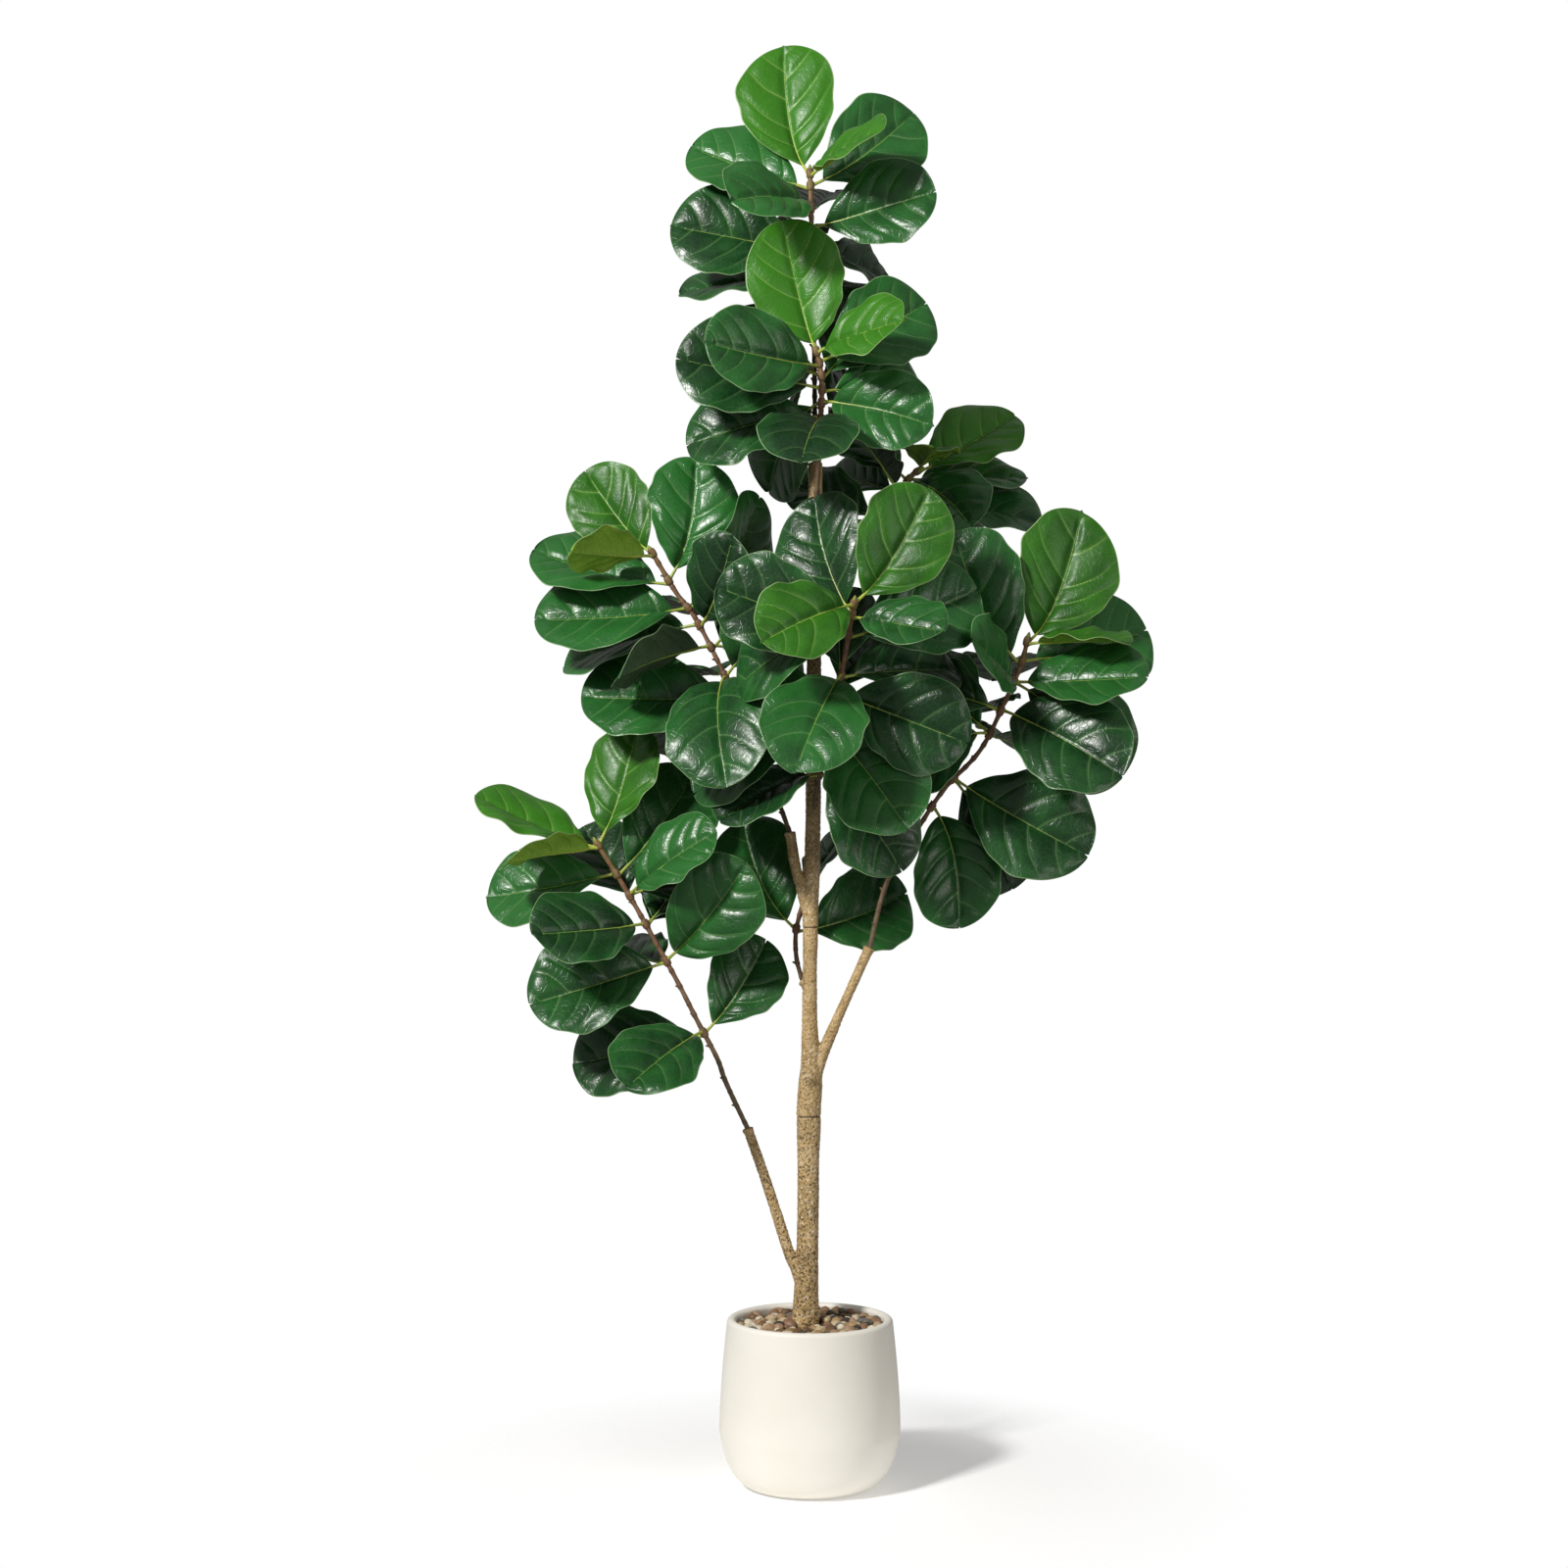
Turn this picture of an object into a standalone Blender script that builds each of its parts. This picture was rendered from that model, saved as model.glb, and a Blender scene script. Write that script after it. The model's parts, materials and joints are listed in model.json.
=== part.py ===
"""A potted fiddle leaf fig, the moulded kind that stands in a planter, about 1.83 m tall.

Metres, +Z up, front towards -Y, origin at the centre of the planter's underside.

From the ground up: a planter, a weighted base that stands in it, a bed of pebbles, and a trunk
in three sections that push together. Eight stems plug into the trunk and its arms. Leaves sit
in twos and threes on short sleeves that are threaded onto the stems.
"""

import itertools
import math

import bmesh
import bpy
from mathutils import Matrix, Vector
from mathutils.bvhtree import BVHTree

# Fits.
TOUCH_GAP = 0.0003  # between pieces that rest on or against each other
PLUG_CLEARANCE = 0.0005  # round a spigot, a plugged stem or a threaded stem

# Planter.
POT_HEIGHT = 0.212
POT_BELLY_RADIUS = 0.115
POT_BELLY_HEIGHT = 0.070
POT_FOOT_RADIUS = 0.070
POT_RIM_RADIUS = 0.1055
POT_RIM_WIDTH = 0.0115
POT_WALL = 0.010
POT_FLOOR = 0.012
SHOULDER_SHARE = 0.57  # the height share that the side's curve leans to above the belly
INNER_SHOULDER_SHARE = 0.62
FOOT_TUCK = 0.010  # how far inside the belly the foot's curve leans
INNER_FOOT_TUCK = 0.004

# What stands in the planter.
BASE_CLEARANCE = 0.008  # round the base as it is lowered through the mouth
BASE_HEIGHT = 0.150
BASE_TAPER = 0.040  # the height over which the base narrows to its foot
PEBBLE_DROP = 0.009  # from the rim down to the bed
PEBBLE_CROWN = 0.003  # how far the bed's middle stands above its edge
CROWN_RING = (0.55, 0.75)  # the bed's level part: a share of its radius, a share of the crown
TRUNK_SINK = 0.120  # how deep the trunk goes into the weighted base
HOLE_OVERRUN = 0.020  # a cutter's reach past the face that it opens

# Trunk. Heights are measured up from the planter's rim: (height, sideways, radius).
LOWER_TRUNK = [
    (-0.020, -0.0063, 0.0175),
    (0.000, -0.0056, 0.0170),
    (0.050, -0.0042, 0.0150),
    (0.1225, -0.0025, 0.0138),
    (0.200, -0.0018, 0.0139),
    (0.240, -0.0014, 0.0152),
]
MIDDLE_TRUNK = [
    (0.264, -0.0014, 0.0155),
    (0.296, 0.0006, 0.0155),
    (0.318, 0.0014, 0.0135),
    (0.345, 0.0006, 0.0112),
    (0.3766, -0.0006, 0.0099),
    (0.430, -0.0002, 0.0094),
    (0.480, 0.0006, 0.0095),
]
UPPER_TRUNK = [
    (0.504, 0.0006, 0.0100),
    (0.530, 0.0014, 0.0099),
    (0.6157, 0.0037, 0.0099),
    (0.800, 0.0050, 0.0093),
    (0.950, 0.0061, 0.0091),
    (1.070, 0.0069, 0.0090),
]
LOWER_SEAM = 0.256
UPPER_SEAM = 0.496
TRUNK_TOP = 1.0865
SEAM_STRAIGHT = 0.006  # the trunk runs straight up for this far on both sides of a seam
SPIGOT_LENGTH = 0.026
LOWER_SPIGOT_RADIUS = 0.0090
UPPER_SPIGOT_RADIUS = 0.0056

# Arms, as (sideways, height above the rim) with a radius at each point.
LEFT_ARM = [(-0.0095, 0.060), (-0.0268, 0.080), (-0.0517, 0.161), (-0.0791, 0.2396)]
LEFT_ARM_RADII = (0.0074, 0.0073, 0.0068, 0.0063)
RIGHT_ARM = [(0.0035, 0.312), (0.0230, 0.3517), (0.0542, 0.4227), (0.0753, 0.4688)]
RIGHT_ARM_RADII = (0.0080, 0.0072, 0.0062, 0.0066)
UPPER_LEFT_ARM = [(0.0030, 0.505), (-0.0075, 0.5323), (-0.0180, 0.572), (-0.0255, 0.6157)]
UPPER_LEFT_ARM_RADII = (0.0068, 0.0072, 0.0070, 0.0064)

# Stems and the sleeves on them.
STEM_RADIUS = 0.0030
STEM_STEP = 0.018  # between the points along a stem
PLUG_POINTS = 5  # the points of a stem that its hole follows
SLEEVE_LENGTH = 0.011
SLEEVE_WALL = 0.0018
FOOT_DEPTH_SHARE = 0.6  # of the sleeve's wall, where a leaf's foot stands
BORE_OVERRUN = 0.002
FOOT_OFFSET = 0.0022  # leaves on one sleeve stand this far above and below its middle

# Leaves. A leaf's reach is given in LEAF_UNIT.
LEAF_UNIT = 0.01
LEAF_THICKNESS = 0.0012
LEAF_WIDTH_SHARE = 0.84  # of the blade's length
PETIOLE_SHARE = 0.13  # of the whole reach
PETIOLE_HALF_WIDTH = 0.0016
SPREAD, FORWARD, ARCH = 0.20, 0.22, 0.09  # where the midrib's control point stands
LEAF_CLEARANCE = 0.0018  # kept free on both faces of a blade
STEM_MARGIN = 0.0045  # kept free between a blade and a stem or trunk
SAMPLE_STEP = 0.006  # between the places on stems and trunk that blades keep clear of
YOUNG_GROUPS = {name + "_leaves_1" for name in (
    "leader", "crown", "upper_left", "front", "right", "lower_left", "back_right"
)}

# Across the blade at each station: (place from foot to tip, half width, edge lift per half width).
STATIONS = [
    (PETIOLE_SHARE, 0.11, 0.60),
    (0.29, 0.50, 0.36),
    (0.50, 0.85, 0.24),
    (0.72, 1.00, 0.18),
    (0.895, 0.78, 0.14),
    (1.00, 0.22, 0.12),
]

# Each spray: the stem's route as (sideways, back, height above the rim), and its leaf groups from
# the tip down as (place along the stem, leaves). A leaf is (sideways, back, up, facing) and may
# end with a roll. Facing 0 turns the upper face to the sky, 90 to the front, and below 0 back.
SPRAYS = {
    "leader": {
        "route": [
            (0.0060, 0.003, 1.058), (0.0062, 0.006, 1.090), (0.0060, 0.020, 1.188),
            (0.0040, 0.015, 1.308), (0.0019, 0.000, 1.388), (0.0000, -0.002, 1.460),
        ],
        "leaves": [
            (0.985, [(-3.1, 3.0, 16.8, 90), (8.5, -10.0, 3.0, 48)]),
            (0.945, [(12.8, 4.0, 10.2, 78), (-15.0, 2.0, 6.2, 55)]),
            (0.875, [(-9.2, -12.5, -1.5, 62), (3.0, 13.0, 5.0, 30)]),
            (0.810, [(14.8, -5.0, 3.5, 74), (-3.0, 12.0, 2.0, -20)]),
            (0.735, [(-17.0, -3.0, 3.2, 70), (10.5, 8.0, -3.0, 75)]),
            (0.640, [(-16.6, 0.0, -1.2, 32), (13.5, 6.0, -1.0, 22), (1.0, 15.0, 0.0, 10)]),
        ],
    },
    "crown": {
        "route": [
            (0.0066, -0.001, 1.022), (0.0085, -0.013, 1.048), (0.0120, -0.030, 1.118),
            (0.0143, -0.045, 1.183), (0.0063, -0.050, 1.226),
        ],
        "leaves": [
            (0.975, [(-4.0, 1.5, 16.2, 90), (10.0, -9.5, 2.2, 58)]),
            (0.900, [(13.3, 5.0, 8.2, 80), (-13.6, -8.0, 1.5, 74)]),
            (0.825, [(-13.0, 6.0, 6.5, 72), (6.0, 8.0, 12.0, 90)]),
            (0.745, [(-17.6, 2.0, 3.2, 70), (13.8, 5.0, 0.5, 70)]),
            (0.665, [(12.8, -6.0, -3.5, 78), (2.0, 15.0, 1.0, 15)]),
            (0.570, [(-16.2, 1.0, -3.5, 58), (-2.5, -15.5, -6.8, 30), (9.0, 12.0, -3.0, 20)]),
        ],
    },
    "upper_left": {
        "route": [
            (-0.0225, 0.000, 0.5960), (-0.0255, 0.000, 0.6157), (-0.0766, 0.000, 0.7527),
            (-0.1015, 0.000, 0.8025), (-0.1426, 0.000, 0.8835), (-0.1700, 0.000, 0.9210),
            (-0.1924, 0.000, 0.9582), (-0.2036, 0.000, 0.9770),
        ],
        "leaves": [
            (0.985, [(-8.9, 3.0, 11.2, 88), (-9.5, -6.0, 0.0, -45)]),
            (0.890, [(3.1, 2.0, 15.2, 90), (-17.0, 4.0, 4.5, 40)]),
            (0.790, [(-18.5, -3.0, -1.2, 48), (4.8, 3.0, 15.8, 80, 62)]),
            (0.730, [(-17.0, 4.0, -4.6, 32), (4.0, -7.0, 10.5, 55)]),
            (0.655, [(-11.0, -9.0, -4.0, -40), (8.7, 6.0, 13.7, 60)]),
            (0.560, [(-5.0, 13.0, 0.0, 20), (5.5, -3.0, 12.5, 70), (0.5, -12.0, -13.5, 66)]),
            (0.490, [(-18.6, -3.0, 0.3, 55), (-9.0, 10.0, -6.5, 10)]),
        ],
    },
    "front": {
        "route": [
            (0.0042, -0.001, 0.632), (0.0070, -0.013, 0.660), (0.0200, -0.050, 0.738),
            (0.0370, -0.100, 0.811), (0.0532, -0.140, 0.903),
        ],
        "leaves": [
            (0.985, [(8.8, 1.0, 13.6, 90), (-10.6, -9.0, -4.8, 70)]),
            (0.935, [(-4.5, 5.0, 14.6, 90, -20), (10.3, -7.0, -2.2, 45)]),
            (0.850, [(-15.5, -2.0, 5.5, 76), (15.5, 3.0, 6.0, 76)]),
            (0.675, [(-5.5, -12.3, -11.3, 62), (14.0, 6.0, 1.0, 50)]),
            (0.585, [(15.3, -4.0, -6.0, 72), (-11.5, 3.0, -1.5, 70)]),
            (0.410, [(9.2, -9.0, -12.0, 70), (-15.8, 5.0, -7.5, 45), (5.0, 13.0, 0.0, 20)]),
            (0.205, [(9.8, -4.5, -11.8, 65), (-12.5, -6.0, -4.2, 30), (-3.0, 13.0, 2.0, 20)]),
        ],
    },
    "right": {
        "route": [
            (0.0674, 0.000, 0.4505), (0.0753, 0.000, 0.4688), (0.0978, 0.000, 0.5535),
            (0.1414, 0.000, 0.6282), (0.1725, 0.000, 0.6740), (0.2161, -0.010, 0.7216),
            (0.2472, -0.015, 0.7839), (0.2659, -0.020, 0.8274), (0.2759, -0.020, 0.8650),
        ],
        "leaves": [
            (0.985, [(6.8, 3.0, 16.2, 88), (12.0, -5.0, 0.0, 10)]),
            (0.930, [(17.0, 5.0, 4.5, 70), (-7.7, 3.0, 16.0, 70)]),
            (0.870, [(16.0, -5.0, 0.5, 42), (13.5, 3.0, -11.5, 76), (-6.5, -11.0, 6.0, 65)]),
            (0.785, [(13.5, -10.0, -8.0, 70), (-2.0, 13.0, 1.0, 20)]),
            (0.715, [(-8.5, 9.0, 8.5, 60), (6.0, 14.0, -2.0, 30)]),
            (0.560, [(16.3, -3.0, -9.5, 76), (7.5, 4.0, -13.8, 75), (-3.0, 13.0, 6.0, 20)]),
            (0.460, [(3.0, -3.0, -14.8, 80)]),
        ],
    },
    "lower_left": {
        "route": [
            (-0.0722, 0.000, 0.2212), (-0.0791, 0.000, 0.2396), (-0.1065, 0.000, 0.2975),
            (-0.1180, 0.000, 0.3295), (-0.1426, 0.000, 0.3760), (-0.1690, 0.000, 0.4280),
            (-0.2074, 0.000, 0.4974), (-0.2323, 0.000, 0.5410), (-0.2634, 0.000, 0.5908),
            (-0.2730, 0.000, 0.6060),
        ],
        "leaves": [
            (0.985, [(4.4, 2.0, 14.7, 80, -32), (-14.7, -1.0, 6.8, 22), (-12.0, -6.0, -1.5, -25)]),
            (0.885, [(-16.0, 3.0, -3.0, 52), (9.3, 5.0, 12.8, 75)]),
            (0.810, [(10.5, -6.0, 8.0, 45), (-6.7, 9.0, 9.0, 60)]),
            (0.715, [(-14.0, -7.0, -0.8, 55), (5.0, 11.0, 8.0, 50)]),
            (0.590, [(9.8, -5.0, 12.0, 85), (-16.5, -3.0, -5.0, 60), (-9.0, 12.0, 1.0, 25)]),
            (0.355, [(-8.6, -12.0, -5.5, 48), (7.5, 4.0, 11.2, 80), (-16.3, 3.0, -3.8, 58)]),
        ],
    },
    "back_right": {
        "route": [
            (0.0055, 0.001, 0.872), (0.0085, 0.013, 0.898), (0.0400, 0.050, 0.958),
            (0.0900, 0.090, 1.018), (0.1300, 0.120, 1.078), (0.1480, 0.130, 1.094),
        ],
        "leaves": [
            (0.985, [(12.5, 5.0, 8.2, 45), (1.5, -10.0, 1.5, -35)]),
            (0.920, [(14.5, 2.0, 2.0, 28), (-8.0, 4.0, 8.5, 60)]),
            (0.840, [(17.5, -3.0, -4.5, 60), (-7.5, -4.0, 9.0, 90, 102)]),
            (0.660, [(15.5, 5.0, -4.0, 50), (-11.5, 3.0, 5.0, 50), (3.0, 14.0, -1.0, 20)]),
        ],
    },
    "inner": {
        "route": [
            (-0.0010, 0.001, 0.402), (-0.0095, 0.007, 0.428), (-0.0170, 0.011, 0.455),
            (-0.0180, 0.016, 0.488), (-0.0110, 0.023, 0.518), (-0.0020, 0.027, 0.548),
        ],
        "leaves": [
            (0.960, [(6.0, 6.0, 9.0, -20)]),
            (0.620, [(-6.5, 5.0, 13.5, 75), (14.5, -5.5, 4.6, 75)]),
        ],
    },
}

# One more leaf on some sleeves, set in behind once all the others are in place, by the sleeve's
# place in its spray's list.
FILLERS = {
    "leader": {4: (3.5, 12.5, 6.0, 60)},
    "crown": {1: (2.0, 13.0, 4.0, 60), 4: (-6.0, 11.0, -9.0, 50)},
    "upper_left": {2: (5.0, 12.5, -2.0, 30), 3: (9.0, 10.0, 4.0, 60), 4: (11.5, 7.0, -6.0, 60)},
    "front": {2: (-9.0, 9.0, -9.0, 55), 3: (0.0, 13.0, 5.0, 40), 4: (3.0, 14.0, 4.0, 50)},
    "right": {1: (-9.0, 10.0, -6.0, 40), 3: (-13.0, 4.0, 3.0, 60), 4: (-12.5, 5.0, -7.0, 60)},
    "lower_left": {2: (11.0, 9.0, 0.0, 50), 3: (12.0, 6.0, 4.0, 60)},
    "back_right": {1: (9.0, -8.0, -9.0, 60), 2: (-9.0, 8.0, 3.0, 60)},
}

# How a leaf may swing about its foot to clear its neighbours, in degrees.
DEPTH_SWINGS = (0, -8, 8, -16, 16, -24, 24, -34, 34, -46, 46)
PLANE_SWINGS = (0, -7, 7, -14, 14, -24, 24)
ROLLS = (0, -14, 14, -28, 28)
PLANE_COST, ROLL_COST = 1.7, 0.7

COLOURS = {
    "pot": ((0.83, 0.80, 0.72), 0.62),
    "cement": ((0.36, 0.35, 0.33), 0.95),
    "pebbles": ((0.33, 0.25, 0.18), 0.60),
    "bark": ((0.34, 0.24, 0.14), 0.80),
    "stem": ((0.16, 0.09, 0.05), 0.55),
    "leaf_mature": ((0.02, 0.12, 0.03), 0.32),
    "leaf_young": ((0.07, 0.27, 0.03), 0.32),
}

TRUNK_BEVEL, ARM_BEVEL, STEM_BEVEL = 4, 3, 2  # rounds of a tube, which gives 12, 10 and 8 sides
POT_STEPS = 40


# Scene, materials and small helpers.


def clear_scene():
    for item in list(bpy.data.objects):
        bpy.data.objects.remove(item)


def new_collection(name):
    group = bpy.data.collections.new(name)
    bpy.context.scene.collection.children.link(group)
    return group


def new_object(name, data, collection):
    item = bpy.data.objects.new(name, data)
    collection.objects.link(item)
    return item


def mesh_object(name, shape, collection):
    mesh = bpy.data.meshes.new(name)
    shape.to_mesh(mesh)
    shape.free()
    return new_object(name, mesh, collection)


def make_materials():
    made = {}
    for name, (colour, roughness) in COLOURS.items():
        material = bpy.data.materials.new(name)
        material.use_nodes = True
        shader = material.node_tree.nodes["Principled BSDF"]
        shader.inputs["Base Color"].default_value = (*colour, 1.0)
        shader.inputs["Roughness"].default_value = roughness
        shader.inputs["Metallic"].default_value = 0.0
        made[name] = material
    return made


def finish(item, material, smooth_degrees=40):
    item.data.materials.clear()
    item.data.materials.append(material)
    if item.type == "MESH":
        item.data.shade_smooth()
        item.data.set_sharp_from_angle(angle=math.radians(smooth_degrees))


def baked(item):
    """The item as a plain mesh object: its modifiers applied and a curve's caps welded."""
    graph = bpy.context.evaluated_depsgraph_get()
    mesh = bpy.data.meshes.new_from_object(item.evaluated_get(graph))
    shape = bmesh.new()
    shape.from_mesh(mesh)
    bmesh.ops.remove_doubles(shape, verts=shape.verts, dist=1e-6)
    shape.to_mesh(mesh)
    shape.free()
    made = bpy.data.objects.new(item.name, mesh)
    made.matrix_world = item.matrix_world
    item.users_collection[0].objects.link(made)
    name = item.name
    bpy.data.objects.remove(item)
    made.name = name
    return made


def combined(item, tools, operation):
    """The item joined with or cut by the tools, which are used up."""
    for tool in tools:
        tool.hide_render = True
        tool.display_type = "WIRE"
        step = item.modifiers.new(operation.lower(), "BOOLEAN")
        step.operation = operation
        step.solver = "EXACT"
        step.object = tool
    bpy.context.view_layer.update()
    made = baked(item)
    for tool in tools:
        bpy.data.objects.remove(tool)
    return made


# Curves and paths.


def quadratic(start, control, end, t):
    return start * (1 - t) ** 2 + control * (2 * t * (1 - t)) + end * t**2


def spline_point(a, b, c, d, t):
    """A point between b and c on the Catmull-Rom curve through a, b, c and d."""
    return 0.5 * (
        2 * b + (c - a) * t + (2 * a - 5 * b + 4 * c - d) * t**2 + (3 * b - a - 3 * c + d) * t**3
    )


class Path:
    """A smooth curve through points, measured by its length."""

    def __init__(self, points, steps=8):
        ends = [2 * points[0] - points[1], *points, 2 * points[-1] - points[-2]]
        self.points = [points[0].copy()]
        for a, b, c, d in zip(ends, ends[1:], ends[2:], ends[3:]):
            self.points += [spline_point(a, b, c, d, (i + 1) / steps) for i in range(steps)]
        runs = [(q - p).length for p, q in zip(self.points, self.points[1:])]
        self.reached = [0.0, *itertools.accumulate(runs)]
        self.length = self.reached[-1]

    def at(self, distance):
        distance = min(max(distance, 0.0), self.length)
        for index in range(1, len(self.points)):
            if self.reached[index] >= distance:
                break
        run = self.reached[index] - self.reached[index - 1]
        share = (distance - self.reached[index - 1]) / run
        return self.points[index - 1].lerp(self.points[index], share)

    def direction(self, distance, reach=0.004):
        return (self.at(distance + reach) - self.at(distance - reach)).normalized()

    def evenly(self, spacing):
        count = max(2, round(self.length / spacing))
        return [self.at(self.length * i / count) for i in range(count + 1)]


def tube(name, points, radii, bevel, collection):
    """A curve object with a round section of the given radius at each point."""
    curve = bpy.data.curves.new(name, "CURVE")
    curve.dimensions = "3D"
    curve.bevel_mode = "ROUND"
    curve.bevel_depth = 1.0
    curve.bevel_resolution = bevel
    curve.use_fill_caps = True
    spline = curve.splines.new("POLY")
    spline.points.add(len(points) - 1)
    for place, point, radius in zip(spline.points, points, radii):
        place.co = (*point, 1.0)
        place.radius = radius
    return new_object(name, curve, collection)


def rod(name, start, end, radius, sides, collection):
    """A straight cylinder between two points whose flats stand at the radius or further out."""
    shape = bmesh.new()
    axis = end - start
    turn = axis.to_track_quat("Z", "Y").to_matrix().to_4x4()
    bmesh.ops.create_cone(
        shape,
        cap_ends=True,
        segments=sides,
        radius1=radius / math.cos(math.pi / sides),
        radius2=radius / math.cos(math.pi / sides),
        depth=axis.length,
        matrix=Matrix.Translation((start + end) / 2) @ turn,
    )
    return mesh_object(name, shape, collection)


def turned(name, profile, steps, collection):
    """A solid of revolution. The profile is (radius, height), down its outer side."""
    mesh = bpy.data.meshes.new(name)
    edges = [(i, i + 1) for i in range(len(profile) - 1)]
    mesh.from_pydata([(radius, 0.0, height) for radius, height in profile], edges, [])
    item = new_object(name, mesh, collection)
    screw = item.modifiers.new("turn", "SCREW")
    screw.axis = "Z"
    screw.angle = math.tau
    screw.steps = steps
    screw.render_steps = steps
    screw.use_merge_vertices = True
    screw.merge_threshold = 0.0001
    screw.use_smooth_shade = True
    return baked(item)


# Planter and what stands in it.


def bend(start, control, end, steps):
    """Points along a quadratic curve of (radius, height), without its start."""
    ends = [Vector(point) for point in (start, control, end)]
    return [tuple(quadratic(*ends, (i + 1) / steps)) for i in range(steps)]


def pot_inside():
    """The inner outline of the planter from its floor's middle to its mouth."""
    mouth = POT_RIM_RADIUS - POT_RIM_WIDTH
    belly = (POT_BELLY_RADIUS - POT_WALL, POT_BELLY_HEIGHT)
    rim_centre = POT_HEIGHT - POT_RIM_WIDTH / 2
    floor_edge = (POT_FOOT_RADIUS - POT_WALL, POT_FLOOR)
    outline = [(0.0, POT_FLOOR), floor_edge]
    outline += bend(floor_edge, (belly[0] - INNER_FOOT_TUCK, POT_FLOOR), belly, 4)
    shoulder = (belly[0], POT_HEIGHT * INNER_SHOULDER_SHARE)
    outline += bend(belly, shoulder, (mouth, rim_centre), 4)
    return outline


def pot_outside():
    """The outer outline from the rim down to the foot's middle."""
    rim_centre = POT_HEIGHT - POT_RIM_WIDTH / 2
    belly = (POT_BELLY_RADIUS, POT_BELLY_HEIGHT)
    foot = (POT_FOOT_RADIUS, 0.0)
    shoulder = (POT_BELLY_RADIUS, POT_HEIGHT * SHOULDER_SHARE)
    outline = bend((POT_RIM_RADIUS, rim_centre), shoulder, belly, 5)
    outline += bend(belly, (POT_BELLY_RADIUS - FOOT_TUCK, 0.0), foot, 6)
    return [*outline, (0.0, 0.0)]


def rim_round():
    """The rolled rim, from the mouth over to the outer side."""
    middle = POT_RIM_RADIUS - POT_RIM_WIDTH / 2
    level = POT_HEIGHT - POT_RIM_WIDTH / 2
    radius = POT_RIM_WIDTH / 2
    turns = [math.pi * (1 - i / 6) for i in range(1, 7)]
    return [(middle + radius * math.cos(a), level + radius * math.sin(a)) for a in turns]


def bed_level():
    return POT_HEIGHT - PEBBLE_DROP


def base_top():
    return POT_FLOOR + TOUCH_GAP + BASE_HEIGHT


def inner_radius(height):
    """The planter's inner radius at a height above its belly."""
    outline = pot_inside()
    for (low_radius, low), (high_radius, high) in zip(outline, outline[1:]):
        if low <= height <= high and high > low:
            share = (height - low) / (high - low)
            return low_radius + (high_radius - low_radius) * share
    return POT_RIM_RADIUS - POT_RIM_WIDTH


def make_pot(collection, materials):
    pot = turned("pot", pot_inside() + rim_round() + pot_outside(), POT_STEPS, collection)
    finish(pot, materials["pot"], 60)


def base_radius():
    """As wide as the mouth lets through and the belly holds."""
    mouth = POT_RIM_RADIUS - POT_RIM_WIDTH
    return min(mouth, POT_BELLY_RADIUS - POT_WALL) - BASE_CLEARANCE


def make_base(trunk_hole, collection, materials):
    low, radius = POT_FLOOR + TOUCH_GAP, base_radius()
    foot = min(radius, POT_FOOT_RADIUS - POT_WALL)
    profile = [(0.0, base_top()), (radius, base_top()), (radius, low + BASE_TAPER)]
    profile += [(foot, low), (0.0, low)]
    base = turned("weighted_base", profile, POT_STEPS // 2, collection)
    base = combined(base, [trunk_hole], "DIFFERENCE")
    finish(base, materials["cement"])


def make_pebble_bed(trunk_hole, collection, materials):
    low, edge = base_top() + TOUCH_GAP, bed_level()
    fit = math.cos(math.pi / POT_STEPS)
    rim = (inner_radius(edge) - TOUCH_GAP) * fit
    waist = min(rim, (inner_radius(low) - TOUCH_GAP) * fit)
    ring = (rim * CROWN_RING[0], edge + PEBBLE_CROWN * CROWN_RING[1])
    profile = [(0.0, edge + PEBBLE_CROWN), ring]
    profile += [(rim, edge), (waist, low), (0.0, low)]
    bed = turned("pebble_bed", profile, POT_STEPS, collection)
    bed = combined(bed, [trunk_hole], "DIFFERENCE")
    finish(bed, materials["pebbles"])


# Trunk and arms.


def rise(height):
    return POT_HEIGHT + height


def trunk_section(rows, low, high):
    """Points and radii from the low end to the high end, straight at both ends."""
    first = (low, rows[0][1], rows[0][2])
    last = (high, rows[-1][1], rows[-1][2])
    kept = [row for row in rows if low + SEAM_STRAIGHT / 2 < row[0] < high - SEAM_STRAIGHT / 2]
    points = [Vector((side, 0.0, rise(height))) for height, side, _ in [first, *kept, last]]
    return points, [radius for _, _, radius in [first, *kept, last]]


def trunk_line():
    """The whole trunk's centre line and radius from the pebbles to the top."""
    return [
        (Vector((side, 0.0, rise(height))), radius)
        for height, side, radius in LOWER_TRUNK + MIDDLE_TRUNK + UPPER_TRUNK
    ]


def trunk_low_end():
    return base_top() - TRUNK_SINK - POT_HEIGHT


def arm(name, route, radii, collection):
    points = [Vector((side, 0.0, rise(height))) for side, height in route]
    return baked(tube(name, points, radii, ARM_BEVEL, collection))


def trunk_tube(name, points, radii, collection):
    return baked(tube(name, points, radii, TRUNK_BEVEL, collection))


def seam_rod(name, side, seam, radius, collection):
    """A rod across a seam: a spigot, or with the clearance added the socket that takes it."""
    start = Vector((side, 0.0, rise(seam) - SEAM_STRAIGHT))
    return rod(name, start, Vector((side, 0.0, rise(seam) + SPIGOT_LENGTH)), radius, 12, collection)


def socket_rod(name, side, seam, radius, collection):
    start = Vector((side, 0.0, rise(seam) - SEAM_STRAIGHT))
    end = Vector((side, 0.0, rise(seam) + SPIGOT_LENGTH + PLUG_CLEARANCE))
    hole = (radius + PLUG_CLEARANCE) / math.cos(math.pi / 12)
    return rod(name, start, end, hole, 12, collection)


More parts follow.
